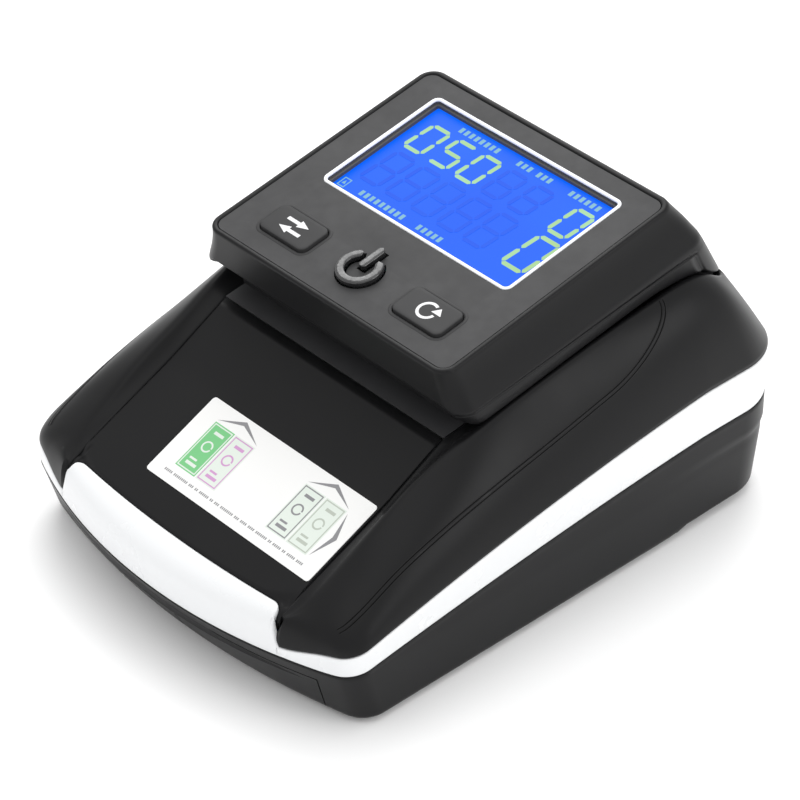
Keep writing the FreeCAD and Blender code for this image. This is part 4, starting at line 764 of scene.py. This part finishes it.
def tub_point(upper_step, lower_step, rise):
    """Point of the tub's wall: upright over the waist, drawn in towards the counter."""
    place, out = upper_step
    waist = TRIM_LOW.z
    spot = place.lerp(lower_step[0], max(0.0, (waist - rise) / (waist - FLOOR_RISE)))
    crease = CREASE * smooth_step(place.y, 30.0, 78.0) * smooth_step(rise, 23.2, 21.4)
    low = min(FOOT_ROUND, rise - FLOOR_RISE)
    tuck = FOOT_ROUND - math.sqrt(max(0.0, FOOT_ROUND ** 2 - (FOOT_ROUND - low) ** 2))
    return Vector((spot.x, spot.y, rise)) - out * (crease + tuck)


def foot_lift(y):
    """The lower edge steps up a little behind the rear feet."""
    return FOOT_LIFT * smooth_step(y, 42.0, 47.0)


def tub_rows(first, last):
    """Points up the wall at steps of the outline; each row has its outward way, foot and lowest rise."""
    rows = []
    for upper_step, lower_step in zip(BODY_STEPS[first:last + 1], FOOT_STEPS[first:last + 1]):
        y = upper_step[0].y
        top = trim_low(y) - SEAM + SEAM_HALF
        bottom = FLOOR_RISE + foot_lift(y)
        row = [tub_point(upper_step, lower_step, mix(bottom, top, (number / TUB_COUNT) ** 1.25))
               for number in range(TUB_COUNT + 1)]
        rows.append((row, upper_step[1], lower_step[0], bottom))
    return rows


def nearest_front_step(x):
    """Number of the outline step on the right of the front that lies nearest to an X."""
    front = [number for number, step in enumerate(BODY_STEPS) if step[0].y < 0]
    return min(front, key=lambda number: abs(BODY_STEPS[number][0].x - x))


DOOR_STEPS = (nearest_front_step(DOOR_LOW.x), nearest_front_step(DOOR_HIGH.x))
WALL_COLUMN = 3
DOOR_LEVEL = 21


def outside_door(row, column):
    """Whether a face of the shell lies outside the battery door's opening."""
    beside = not DOOR_STEPS[0] <= row < DOOR_STEPS[1]
    return beside or not WALL_COLUMN - 1 <= column < WALL_COLUMN + DOOR_LEVEL


def door_frame_rows():
    """Edge of the door's opening, turned inwards."""
    tub = tub_rows(*DOOR_STEPS)
    edge = [(point, tub[0][1]) for point in tub[0][0][:DOOR_LEVEL]]
    edge += [(column[0][DOOR_LEVEL], column[1]) for column in tub]
    edge += [(point, tub[-1][1]) for point in reversed(tub[-1][0][:DOOR_LEVEL])]
    return [[point, point - out * FRAME_DEPTH] for point, out in edge]


def door_rows():
    """Battery door: the front wall inside the opening, its edges and its strip of floor."""
    first, last = DOOR_STEPS
    top = tub_rows(first, first)[0][0][DOOR_LEVEL].z - DOOR_GAP
    back, thick = DOOR_HIGH.y, DOOR_THICKNESS
    rows = []
    for index in range(first, last + 1):
        (upper, out), lower = BODY_STEPS[index], FOOT_STEPS[index][0]
        inner = {first: first + 1, last: last - 1}.get(index)
        if inner is not None:
            share = DOOR_GAP / (BODY_STEPS[inner][0] - upper).length
            upper = upper.lerp(BODY_STEPS[inner][0], share)
            lower = lower.lerp(FOOT_STEPS[inner][0], share)
        wall = [tub_point((upper, out), (lower, out), mix(FLOOR_RISE, top, number / DOOR_COUNT))
                for number in range(DOOR_COUNT + 1)]
        under = wall[0] - out * thick - up(DOOR_SINK)
        rows.append([Vector((wall[0].x, back, FLOOR_RISE + thick)), Vector((wall[0].x, back, under.z)), under]
                    + wall + [wall[-1] - out * thick])
    for index, end in ((first, 0), (last, -1)):
        out = BODY_STEPS[index][1]
        floor, wall = rows[end][:3], rows[end][3:]
        turned = [point + up(thick) for point in floor] + [point - out * thick for point in wall]
        rows.insert(0 if end == 0 else len(rows), turned)
    return rows


def shell_strip():
    """Rows from the middle of the floor out to the foot, up the wall and over its upper edge."""
    rows = []
    for row, out, foot, bottom in tub_rows(0, len(BODY_STEPS) - 1):
        floor_edge = Vector((row[0].x, row[0].y, bottom)) - out * 2.0
        middle = Vector((foot.x * 0.5, foot.y * 0.6, bottom))
        centre = Vector((0, foot.y * 0.3, bottom))
        rows.append([centre, middle, floor_edge] + row
                    + [row[-1] - out * sink + up(rise) for sink, rise in SHELL_LIP])
    return both_sides(rows)


skin("lower_shell_skin", shell_strip(), BLACK, "body", "black_shell", ["lower_shell"], loop=True,
     keep=outside_door)
skin("door_opening_edge", door_frame_rows(), BLACK, "body", "black_shell")
sharpen(skin("battery_door_skin", door_rows(), BLACK, "battery_cover", "black_shell", ["battery_door"]))


# ---- head ----

PANEL_TILT = math.radians(10.4)
HEAD_FRONT = Vector((0, -26.5, 80.0))
HEAD_HALF = 46.0
HEAD_BACK = 82.9
RIM_CORNER = 4.8
HEAD_ACROSS = Vector((1, 0, 0))
HEAD_ALONG = Vector((0, math.cos(PANEL_TILT), math.sin(PANEL_TILT)))
HEAD_UP = Vector((0, -math.sin(PANEL_TILT), math.cos(PANEL_TILT)))


def head_spot(x, y, z):
    """Point given in the head's own frame: across, up the panel, and out of the panel."""
    return HEAD_FRONT + HEAD_ACROSS * x + HEAD_ALONG * y + HEAD_UP * z


# The parting line round the flank: the share of a side it reaches, its depth and its fall to the rear.
PARTING_END, PARTING_DEPTH, PARTING_FALL = 0.994, 13.0, 2.9
RUN_COUNT = 26
RUN_SHARES = sorted([number / RUN_COUNT for number in range(1, RUN_COUNT)]
                    + [1 - PARTING_END, 2 - 2 * PARTING_END, 2 * PARTING_END - 1, PARTING_END])
FLANK_REACH = 4.5
THROAT_DEPTH, SIDE_DEPTH, HIP_DEPTH, APRON_DEPTH = 11.4, 18.4, 24.8, 34.0
WAIST_Y, WAIST_DROP = 55.0, 0.9
FLARE_COUNT, STRIP_COUNT = 17, 8
STRIP_INSET, STRIP_DROP, STRIP_LEAST = 0.1, 0.45, 0.9
GROOVE_EDGE = 0.2
# The rim over the fascia, as (inset, rise), and the flank's turned-in edge, as (rise, inset).
HEAD_RIM = ((1.6, -1.5), (1.6, -0.5), (1.5, -0.16), (1.25, -0.02), (0.7, 0.0), (0.35, -0.06),
            (0.12, -0.22))
FLANK_EDGE = ((0.1, 0.1), (0.0, 0.4), (0.0, 1.2), (0.6, 2.6), (4.0, 2.9))


def ring_recipe(turns, shares):
    """Steps round a round-cornered rectangle: share across (-1 to 1), share up (0 to 1), outward."""
    corners = ((1, 0, -90), (1, 1, 0), (-1, 1, 90), (-1, 0, 180))
    recipe = []
    for number, (u, v, start) in enumerate(corners):
        for turn in range(turns + 1):
            angle = math.radians(start + 90 * turn / turns)
            recipe.append((u, v, (math.cos(angle), math.sin(angle))))
        next_u, next_v, next_start = corners[(number + 1) % 4]
        out = (math.cos(math.radians(next_start)), math.sin(math.radians(next_start)))
        for share in shares:
            recipe.append((mix(u, next_u, share), mix(v, next_v, share), out))
    return recipe


def place_step(step, half, front, back, radius):
    """Point in the panel's plane of one step of a recipe, for one size of rectangle."""
    u, v, out = step
    return u * (half - radius) + radius * out[0], mix(front + radius, back - radius, v) + radius * out[1]


HEAD_RING = ring_recipe(14, RUN_SHARES)
SMALL_RING = ring_recipe(8, [number / 8 for number in range(1, 8)])


def side_flare(depth):
    """How far the sides stand out at a depth under the panel."""
    return (FLANK_REACH * min(1.0, depth / PARTING_DEPTH) ** 1.42
            - 0.12 * max(0.0, depth - PARTING_DEPTH - 3))


def rear_flare(depth):
    return 0.43 * depth + 0.8 * min(1.0, depth / 8)


def front_flare(depth):
    return 0.5 * min(1.0, depth / 11) ** 2 - 0.45 * max(0.0, depth - PARTING_DEPTH)


def flank_end(step, y):
    """Depth of the flank's lower edge: short over the throat, longer at the sides, longest behind."""
    out = step[2]
    if out[1] < -0.001:
        return mix(THROAT_DEPTH, SIDE_DEPTH, smooth_step(abs(out[0]), 0.1, 0.95))
    if out[1] > 0.001:
        return mix(HIP_DEPTH, APRON_DEPTH, out[1] ** 0.8)
    middle = SIDE_DEPTH + WAIST_DROP
    behind = max(0.0, (y - WAIST_Y) / (HEAD_BACK - RIM_CORNER - WAIST_Y))
    return mix(SIDE_DEPTH, middle, min(1.0, y / WAIST_Y)) + (HIP_DEPTH - middle) * behind ** 2.2


def flank_point(step, depth, sink=0.0):
    """Point of the flank under one step of the rim, moved in by a sink."""
    x, y = place_step(step, HEAD_HALF + side_flare(depth) - sink, sink - front_flare(depth),
                      HEAD_BACK + rear_flare(depth) - sink, RIM_CORNER + 0.07 * depth)
    return head_spot(x, y, -depth)


def flank_column(step):
    """Points down the flank: flare, parting line, lower strip and the turned-in edge."""
    y = place_step(step, HEAD_HALF, 0.0, HEAD_BACK, RIM_CORNER)[1]
    end = flank_end(step, y)
    line = min(PARTING_DEPTH + PARTING_FALL * y / HEAD_BACK, end - STRIP_LEAST)
    on_line = smooth_step(end - line, 1.5, 3.0) if step[1] < PARTING_END + 0.001 else 0.0
    drop = STRIP_DROP if abs(step[1] - PARTING_END) < 0.001 else 0.0
    strip = STRIP_INSET * on_line
    points = [flank_point(step, mix(0.5, line - GROOVE_EDGE, number / FLARE_COUNT))
              for number in range(FLARE_COUNT + 1)]
    for shift, sink in ((-0.08, 0.45), (0.08, 0.45), (GROOVE_EDGE, 0.02)):
        points.append(flank_point(step, line + shift, sink * on_line + drop * (1 - on_line) + strip))
    for number in range(1, STRIP_COUNT + 1):
        depth = mix(line + GROOVE_EDGE, end - 0.35, number / STRIP_COUNT)
        points.append(flank_point(step, depth, strip + drop))
    for rise, sink in FLANK_EDGE:
        points.append(flank_point(step, end - rise, sink + strip + drop))
    return points


def head_columns():
    """Columns of the head's shell, each from the fascia's seat over the rim and down the flank."""
    columns = []
    for step in HEAD_RING:
        column = []
        for inset, z in HEAD_RIM:
            x, y = place_step(step, HEAD_HALF - inset, inset, HEAD_BACK - inset, RIM_CORNER - inset)
            column.append(head_spot(x, y, z))
        columns.append(column + flank_column(step))
    return columns


skin("head_shell_skin", head_columns(), BLACK, "head", "black_shell", ["head_shell"], loop=True)


# ---- keys, power key and display ----

KEY_HALF, KEY_HALF_LENGTH, KEY_Y, KEY_X = 8.8, 5.2, 13.8, 25.6
KEY_CORNER = 2.0
KEY_PROUD = 0.7
# Profiles of the key cap and of the rim round its opening, as (grow, rise) off the key's outline.
KEY_CAP = [(0.8, -4.0), (0.8, -3.3), (0.0, -3.25), (0.0, KEY_PROUD - 0.34), (-0.05, KEY_PROUD - 0.17),
           (-0.16, KEY_PROUD - 0.05), (-0.34, KEY_PROUD), (-1.2, KEY_PROUD + 0.01),
           (-2.6, KEY_PROUD + 0.03), (-4.6, KEY_PROUD + 0.04)]
KEY_RIM = [(0.32, -1.4), (0.32, -0.42), (0.38, -0.26), (0.55, -0.16), (0.85, -0.15), (1.1, -0.2),
           (1.3, -0.29), (1.4, -0.5)]
PRINT_RISE, PRINT_THICKNESS = KEY_PROUD + 0.09, 0.1


def panel_rings(half_x, half_y, centre, radius, profile):
    """Rings over a round-cornered block in the panel's frame; profile holds (grow, z) pairs."""
    rows = []
    for grow, z in profile:
        spots = [place_step(step, half_x + grow, -half_y - grow, half_y + grow, max(0.3, radius + grow))
                 for step in SMALL_RING]
        rows.append([head_spot(centre[0] + x, centre[1] + y, z) for x, y in spots])
    return rows


def capped(name, rows):
    """Ring mesh with its last ring closed by a fan of faces."""
    mesh = grid_mesh(name, rows, ring=True)
    work = bmesh.new()
    work.from_mesh(mesh)
    bmesh.ops.holes_fill(work, edges=work.edges)
    work.to_mesh(mesh)
    work.free()
    return mesh


def make_key(label, side):
    """Domed key cap, and the rim round its opening in the fascia."""
    centre = (side * KEY_X, KEY_Y)
    cap, rim = label + "_key_cap", label + "_key_rim"
    rows = panel_rings(KEY_HALF, KEY_HALF_LENGTH, centre, KEY_CORNER, KEY_CAP)
    new_piece(cap, capped(cap, rows), KEY, label + "_key", [label + "_key"])
    rows = panel_rings(KEY_HALF, KEY_HALF_LENGTH, centre, KEY_CORNER, KEY_RIM)
    skin(rim, rows, FASCIA, "head", "fascia", ring=True)


def many_plates(name, outlines, z, thickness, place, material, body):
    """Several thin plates as one piece."""
    mesh = bpy.data.meshes.new(name)
    work = bmesh.new()
    for outline in outlines:
        top = [work.verts.new(place(x, y, z) * MM) for x, y in outline]
        low = [work.verts.new(place(x, y, z - thickness) * MM) for x, y in outline]
        work.faces.new(top)
        work.faces.new(low[::-1])
        count = len(top)
        for i in range(count):
            work.faces.new((top[i], low[i], low[(i + 1) % count], top[(i + 1) % count]))
    bmesh.ops.recalc_face_normals(work, faces=work.faces)
    bmesh.ops.triangulate(work, faces=work.faces)
    work.to_mesh(mesh)
    work.free()
    return new_piece(name, mesh, material, body)


def bar(x0, y0, x1, y1):
    return [(x0, y0), (x1, y0), (x1, y1), (x0, y1)]


def arrow(x, y, length, width, direction):
    """Arrow outline that points along +X or -X."""
    head_length = length * 0.45
    half, shaft = width / 2, width / 5
    neck = length - head_length
    shape = [(0, shaft), (neck, shaft), (neck, half), (length, 0), (neck, -half), (neck, -shaft),
             (0, -shaft)]
    return [(x + direction * (px - length / 2), y + py) for px, py in shape]


def ring_piece(centre_x, centre_y, radius, width, start, end, steps=26):
    """Outline of part of a flat ring between two angles in degrees."""
    outer, inner = [], []
    for number in range(steps + 1):
        angle = math.radians(mix(start, end, number / steps))
        across, along_way = math.cos(angle), math.sin(angle)
        for edge, reach in ((outer, radius + width / 2), (inner, radius - width / 2)):
            edge.append((centre_x + across * reach, centre_y + along_way * reach))
    return outer + inner[::-1]


for label, side in (("left", -1), ("right", 1)):
    make_key(label, side)



def print_on_key(label, outlines):
    many_plates(label + "_key_icon", outlines, PRINT_RISE, PRINT_THICKNESS, head_spot, PRINT, label + "_key")


print_on_key("left", [arrow(-KEY_X, KEY_Y + 1.7, 8.0, 2.8, 1), arrow(-KEY_X, KEY_Y - 1.7, 8.0, 2.8, -1)])
print_on_key("right", [ring_piece(KEY_X, KEY_Y, 2.7, 0.85, 60, 350),
                       [(KEY_X + 1.0, KEY_Y + 0.3), (KEY_X + 4.4, KEY_Y + 0.3), (KEY_X + 2.7, KEY_Y + 2.6)]])

POWER_RADIUS, POWER_HALF, POWER_GAP, POWER_COUNT = 5.2, 1.3, 34.0, 60
BAR_START, BAR_END, BAR_HALF = 0.2, 8.6, 1.25
POWER_TOP, POWER_FOOT = 1.6, -1.8
# Section of the power key: share of its half width, drop under its top.
POWER_CROWN = ((1.0, 0.6), (0.93, 0.26), (0.74, 0.06), (0.35, 0))


def round_end(distance, reach):
    """Share of the full width at a distance from a rounded end."""
    short = max(0.0, 1 - distance / reach)
    return max(0.08, math.sqrt(max(0.0, 1 - short ** 2)))


def make_power_key():
    """Ring with a gap and a rounded bar through it, standing on a hidden base."""
    rows = []
    for number in range(POWER_COUNT + 1):
        angle = math.radians(mix(90 + POWER_GAP, 450 - POWER_GAP, number / POWER_COUNT))
        across, forward = math.cos(angle), math.sin(angle)
        half = POWER_HALF * round_end(min(number, POWER_COUNT - number), 2.5)
        rows.append(power_section(Vector((POWER_RADIUS * across, POWER_RADIUS * forward, 0)),
                                  Vector((across, forward, 0)), half))
    skin("power_ring", rows, POWER, "power_key", "power_key_gloss", ["power_key"], ring=True)
    rows = []
    for number in range(POWER_COUNT + 1):
        y = mix(BAR_START, BAR_END, number / POWER_COUNT)
        half = BAR_HALF * round_end(min(y - BAR_START, BAR_END - y), 1.0)
        rows.append(power_section(Vector((0, y, 0)), Vector((1, 0, 0)), half))
    skin("power_bar", rows, POWER, "power_key", "power_key_gloss", ring=True)


def power_section(centre, across, half):
    """Closed cross-section with a rounded crown, square to the key's centre line."""
    crown = [(share, POWER_TOP - drop) for share, drop in POWER_CROWN]
    places = [(-1.0, POWER_FOOT)] + [(-share, z) for share, z in crown]
    places += crown[::-1] + [(1.0, POWER_FOOT)]
    return [head_spot(centre.x + across.x * half * reach, KEY_Y + centre.y + across.y * half * reach, z)
            for reach, z in places]


make_power_key()


DISPLAY_LOW, DISPLAY_HIGH = 31.8, 75.3
DISPLAY_HALF = 35.6
DISPLAY_CORNER = 2.4
BEZEL_WIDTH = 1.15
LEDGE = 1.8
GLASS_RISE = -2.6
# Profiles of the bezel, the well in it and the glass, as (grow, rise) off the display's outline.
BEZEL_PROFILE = [(-0.12, -1.5), (-0.12, -0.35), (-0.2, -0.16), (-0.42, -0.06), (-0.8, -0.06),
                 (-BEZEL_WIDTH + 0.1, -0.2), (-BEZEL_WIDTH, -0.5), (-BEZEL_WIDTH, -1.5)]
WELL_PROFILE = [(-BEZEL_WIDTH + 0.02, -0.6), (-BEZEL_WIDTH - 0.03, -0.6), (-BEZEL_WIDTH - 0.03, -1.45),
                (-LEDGE + 0.1, -1.5), (-LEDGE, -1.6), (-LEDGE, GLASS_RISE - 0.2)]
GLASS_PROFILE = [(-LEDGE + 0.02, GLASS_RISE - 1.0), (-LEDGE + 0.02, GLASS_RISE)]


def display_rings(profile):
    middle = (0, (DISPLAY_LOW + DISPLAY_HIGH) / 2)
    return panel_rings(DISPLAY_HALF, (DISPLAY_HIGH - DISPLAY_LOW) / 2, middle, DISPLAY_CORNER, profile)


def make_display():
    """White bezel, the grey well inside it and the lit glass at the bottom of the well."""
    skin("display_bezel_skin", display_rings(BEZEL_PROFILE), BEZEL, "head", "display_bezel",
         ["display_frame"], ring=True)
    sharpen(skin("display_well", display_rings(WELL_PROFILE), WELL, "head", "black_shell", ring=True))
    sharpen(new_piece("display_glass", capped("display_glass", display_rings(GLASS_PROFILE)), LCD, "head",
                      ["display_window", "lcd_panel"]))


SEGMENT_GAP, FIGURE_LEAN = 0.22, 0.08


def segment_outline(x0, y0, x1, y1, width):
    """Six-sided bar of a seven-segment figure between two points."""
    dx, dy = x1 - x0, y1 - y0
    length = math.hypot(dx, dy)
    ux, uy = dx / length, dy / length
    half = width / 2
    near, far = SEGMENT_GAP + half, length - SEGMENT_GAP - half
    shape = [(SEGMENT_GAP, 0), (near, half), (far, half), (length - SEGMENT_GAP, 0), (far, -half),
             (near, -half)]
    return [(x0 + ux * a - uy * b, y0 + uy * a + ux * b) for a, b in shape]


FIGURES = {"0": "abcdef", "5": "afgcd", "8": "abcdefg"}


def figure(mark, x, y, width, height, thick):
    """Bars of one seven-segment figure with its lower left corner at (x, y), leaning a little."""
    spots = {"bl": (0, 0), "br": (width, 0), "ml": (0, height / 2), "mr": (width, height / 2),
             "tl": (0, height), "tr": (width, height)}
    bars = {"a": ("tl", "tr"), "b": ("tr", "mr"), "c": ("mr", "br"), "d": ("bl", "br"), "e": ("ml", "bl"),
            "f": ("tl", "ml"), "g": ("ml", "mr")}
    outlines = []
    for bar_name in FIGURES[mark]:
        start, end = (spots[corner] for corner in bars[bar_name])
        outlines.append(segment_outline(x + start[0] + FIGURE_LEAN * start[1], y + start[1],
                                        x + end[0] + FIGURE_LEAN * end[1], y + end[1], thick))
    return outlines


FIGURE_PITCH = 9.9
FIRST_FIGURE = -30.2
UPPER_ROW, LOWER_ROW = 57.1, 40.9
# Height and stroke of the figures in the two rows.
UPPER_FIGURE, LOWER_FIGURE = (10.6, 1.3), (13.2, 1.3)
# Rows of small blocks that stand where words would be: left end, foot, how many.
BLOCK_ROWS = ((-22.4, 69.9, 8), (-0.3, 69.9, 3), (7.1, 69.9, 3), (19.2, 69.9, 6), (-25.1, 35.6, 9),
              (-3.0, 35.6, 5))
BLOCK_PITCH, BLOCK_WIDTH, BLOCK_HEIGHT = 1.95, 1.15, 2.0
BOX = (-32.8, 34.9, -30.2, 38.4)
BOX_LINE = 0.3


def show_on_glass(name, outlines, rise, material):
    """Plates that lie just over the lit glass."""
    many_plates(name, outlines, GLASS_RISE + rise, 0.05, head_spot, material, "head")


def frame_bars(x0, y0, x1, y1, line):
    """Four bars round a box: left, right, lower and upper."""
    return [bar(x0, y0, x0 + line, y1), bar(x1 - line, y0, x1, y1), bar(x0 + line, y0, x1 - line, y0 + line),
            bar(x0 + line, y1 - line, x1 - line, y1)]


def make_readout():
    """Generic figures, faint unlit ones, blocks where captions stand, and a boxed arrow."""
    lit = []
    for number, mark in enumerate("050"):
        lit += figure(mark, FIRST_FIGURE + number * FIGURE_PITCH, UPPER_ROW, 6.4, *UPPER_FIGURE)
    lit += figure("0", 24.5, UPPER_ROW, 6.2, *UPPER_FIGURE)
    lit += figure("0", 24.0, LOWER_ROW, 7.4, 13.2, 1.4)
    show_on_glass("readout", lit, 0.07, SEGMENT)
    faint = []
    for number in (3, 4):
        faint += figure("8", FIRST_FIGURE + number * FIGURE_PITCH, UPPER_ROW, 6.4, *UPPER_FIGURE)
    for number in range(5):
        faint += figure("8", FIRST_FIGURE + number * FIGURE_PITCH, LOWER_ROW, 6.8, *LOWER_FIGURE)
    show_on_glass("readout_unlit", faint, 0.05, GHOST)
    blocks = []
    for x, y, count in BLOCK_ROWS:
        blocks += [bar(x + BLOCK_PITCH * i, y, x + BLOCK_PITCH * i + BLOCK_WIDTH, y + BLOCK_HEIGHT)
                   for i in range(count)]
    x0, y0, x1, y1 = BOX
    blocks += frame_bars(*BOX, BOX_LINE)
    blocks.append([(x0 + 0.7, y0 + 1.2), (x1 - 0.7, y0 + 1.2), ((x0 + x1) / 2, y1 - 0.9)])
    show_on_glass("readout_captions", blocks, 0.07, CAPTION)


make_display()
make_readout()


# ---- tray label ----

LABEL_LOW, LABEL_HIGH = span("tray_label")
LABEL_X0, LABEL_X1 = LABEL_LOW.x, LABEL_HIGH.x
SLOPE = math.atan(TRAY_SLOPE)
LABEL_LEAD = 1.4
LABEL_LENGTH = (LABEL_HIGH.y - LABEL_LOW.y) / math.cos(SLOPE) + LABEL_LEAD
LABEL_START = LABEL_LOW.y - LABEL_LEAD * math.cos(SLOPE)


def label_spot(x, y, z):
    """Point on the sloping label: x across, y up the slope from its front edge, z off its face."""
    base_y = LABEL_START + y * math.cos(SLOPE)
    return Vector((x, base_y - z * math.sin(SLOPE), floor_rise(LABEL_START) + y * math.sin(SLOPE)
                   + z * math.cos(SLOPE)))


def rounded_box(x0, y0, x1, y1, radius, steps=5):
    outline = []
    for cx, cy, start in ((x1 - radius, y0 + radius, -90), (x1 - radius, y1 - radius, 0),
                          (x0 + radius, y1 - radius, 90), (x0 + radius, y0 + radius, 180)):
        for number in range(steps + 1):
            angle = math.radians(start + 90 * number / steps)
            outline.append((cx + radius * math.cos(angle), cy + radius * math.sin(angle)))
    return outline


LABEL_FACE = 0.2


def print_on_label(name, outlines, rise, material):
    """Ink that lies on the label's face."""
    many_plates(name, outlines, LABEL_FACE + rise, 0.02, label_spot, material, "body")


def note_icon(name, x, y, width, length, ground, ink):
    """Generic banknote: a tinted field with a frame, a round seal and bars, and no picture."""
    print_on_label(name + "_ground", [bar(x, y, x + width, y + length)], 0.02, LOOKS["ink_" + ground])
    edge = 0.35
    marks = [bar(x + edge, y + edge, x + width - edge, y + 2 * edge),
             bar(x + edge, y + length - 2 * edge, x + width - edge, y + length - edge),
             bar(x + edge, y + 2 * edge, x + 2 * edge, y + length - 2 * edge),
             bar(x + width - 2 * edge, y + 2 * edge, x + width - edge, y + length - 2 * edge),
             ring_piece(x + width / 2, y + length * 0.55, width * 0.2, 0.5, 0, 345)]
    for left, low, right, high in ((0.25, 0.12, 0.75, 0.18), (0.25, 0.23, 0.6, 0.27), (0.3, 0.8, 0.75, 0.86)):
        marks.append(bar(x + width * left, y + length * low, x + width * right, y + length * high))
    print_on_label(name + "_ink", marks, 0.03, LOOKS["ink_" + ink])


NOTE_WIDTH, NOTE_LENGTH, NOTE_FOOT, NOTE_GAP = 7.6, 15.6, 5.4, 0.4
NOTE_STEP = NOTE_WIDTH + NOTE_GAP
NOTES = ((-15.8, "green", "pale"), (-15.8 + NOTE_STEP, "pale", "violet"),
         (19.7, "pale", "grey"), (19.7 + NOTE_STEP, "pale", "sage"))
# Rows of plain ticks that stand where the label's line of words would be.
CAPTION_WORDS = (5, 9, 3, 2, 6, 2, 3, 8, 3, 4, 4, 7, 2, 5, 2, 5, 4)
CAPTION_START, CAPTION_LOW, CAPTION_HIGH = -17.2, 2.6, 3.35
TICK_WIDTH, TICK_PITCH = 0.36, 0.6


def make_label():
    """White sheet with four notes, arrow heads round them and the row of ticks."""
    many_plates("label_sheet", [rounded_box(LABEL_X0, 0, LABEL_X1, LABEL_LENGTH, 1.0)], LABEL_FACE, 0.17,
                label_spot, LABEL, "body")
    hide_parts("tray_label")
    for number, (x, ground, ink) in enumerate(NOTES):
        note_icon("note_%d" % number, x, NOTE_FOOT, NOTE_WIDTH, NOTE_LENGTH, ground, ink)
    marks = []
    over, wide = NOTE_FOOT + NOTE_LENGTH + 0.6, 2 * NOTE_WIDTH + NOTE_GAP
    for x in (NOTES[0][0], NOTES[2][0]):
        marks.append([(x, over), (x + wide / 2, over + 2.6), (x + wide, over), (x + wide / 2, over + 3.9)])
    beside, middle = NOTES[3][0] + NOTE_WIDTH + 0.7, NOTE_FOOT + NOTE_LENGTH / 2
    marks.append([(beside, NOTE_FOOT + 0.5), (beside + 1.6, middle),
                  (beside, NOTE_FOOT + NOTE_LENGTH - 0.5), (beside + 3.1, middle)])
    x = CAPTION_START
    for letters in CAPTION_WORDS:
        for _ in range(letters):
            marks.append(bar(x, CAPTION_LOW, x + TICK_WIDTH, CAPTION_HIGH))
            x += TICK_PITCH
        x += TICK_PITCH
    print_on_label("label_marks", marks, 0.02, LOOKS["ink_grey"])


make_label()


# ---- room, light and camera ----

FLOOR_HALF = 3.0
LIGHT_TARGET = Vector((0.0, 0.0, 0.05))
LENS, SENSOR = 163.2, 36.0
CAMERA_PLACE, CAMERA_WAY = (0.57152, -0.52437, 0.61288), (-0.5901, 0.5425, -0.5979)


def area_light(name, place, size, power):
    light = bpy.data.lights.new(name, "AREA")
    light.shape = "RECTANGLE"
    light.size = size
    light.size_y = size
    light.energy = power
    lamp = bpy.data.objects.new(name, light)
    lamp.location = place
    lamp.rotation_euler = (LIGHT_TARGET - Vector(place)).to_track_quat("-Z", "Y").to_euler()
    bpy.context.scene.collection.objects.link(lamp)


def make_floor():
    mesh = bpy.data.meshes.new("floor")
    corners = [(x, y, 0) for x, y in bar(-FLOOR_HALF, -FLOOR_HALF, FLOOR_HALF, FLOOR_HALF)]
    mesh.from_pydata(corners, [], [(0, 1, 2, 3)])
    floor = bpy.data.objects.new("floor", mesh)
    bpy.context.scene.collection.objects.link(floor)
    material, tree, shader = node_material("pale_floor", (0.97, 0.97, 0.97), 0.75)
    tree.links.new(add_range(tree, add_noise(tree, 4, 2), 0.7, 0.8), shader.inputs["Roughness"])
    mesh.materials.append(material)


def make_world():
    world = bpy.data.worlds.new("studio")
    world.use_nodes = True
    backdrop = world.node_tree.nodes["Background"]
    backdrop.inputs["Color"].default_value = (1, 1, 1, 1)
    backdrop.inputs["Strength"].default_value = 1.0
    bpy.context.scene.world = world


def make_camera():
    """Camera above the right front corner, at the same angle as the reference view."""
    camera = bpy.data.cameras.new("camera")
    camera.lens = LENS
    camera.sensor_width = SENSOR
    eye = bpy.data.objects.new("camera", camera)
    eye.location = CAMERA_PLACE
    eye.rotation_euler = Vector(CAMERA_WAY).to_track_quat("-Z", "Y").to_euler()
    bpy.context.scene.collection.objects.link(eye)
    bpy.context.scene.camera = eye


make_floor()
make_world()
make_camera()
bpy.context.scene.view_settings.view_transform = "Standard"
area_light("key_light", (-0.55, 0.55, 0.85), 0.8, 6.0)
area_light("side_light", (0.9, 0.35, 0.5), 0.5, 2.0)
area_light("top_light", (0.1, -0.1, 1.1), 1.0, 2.0)
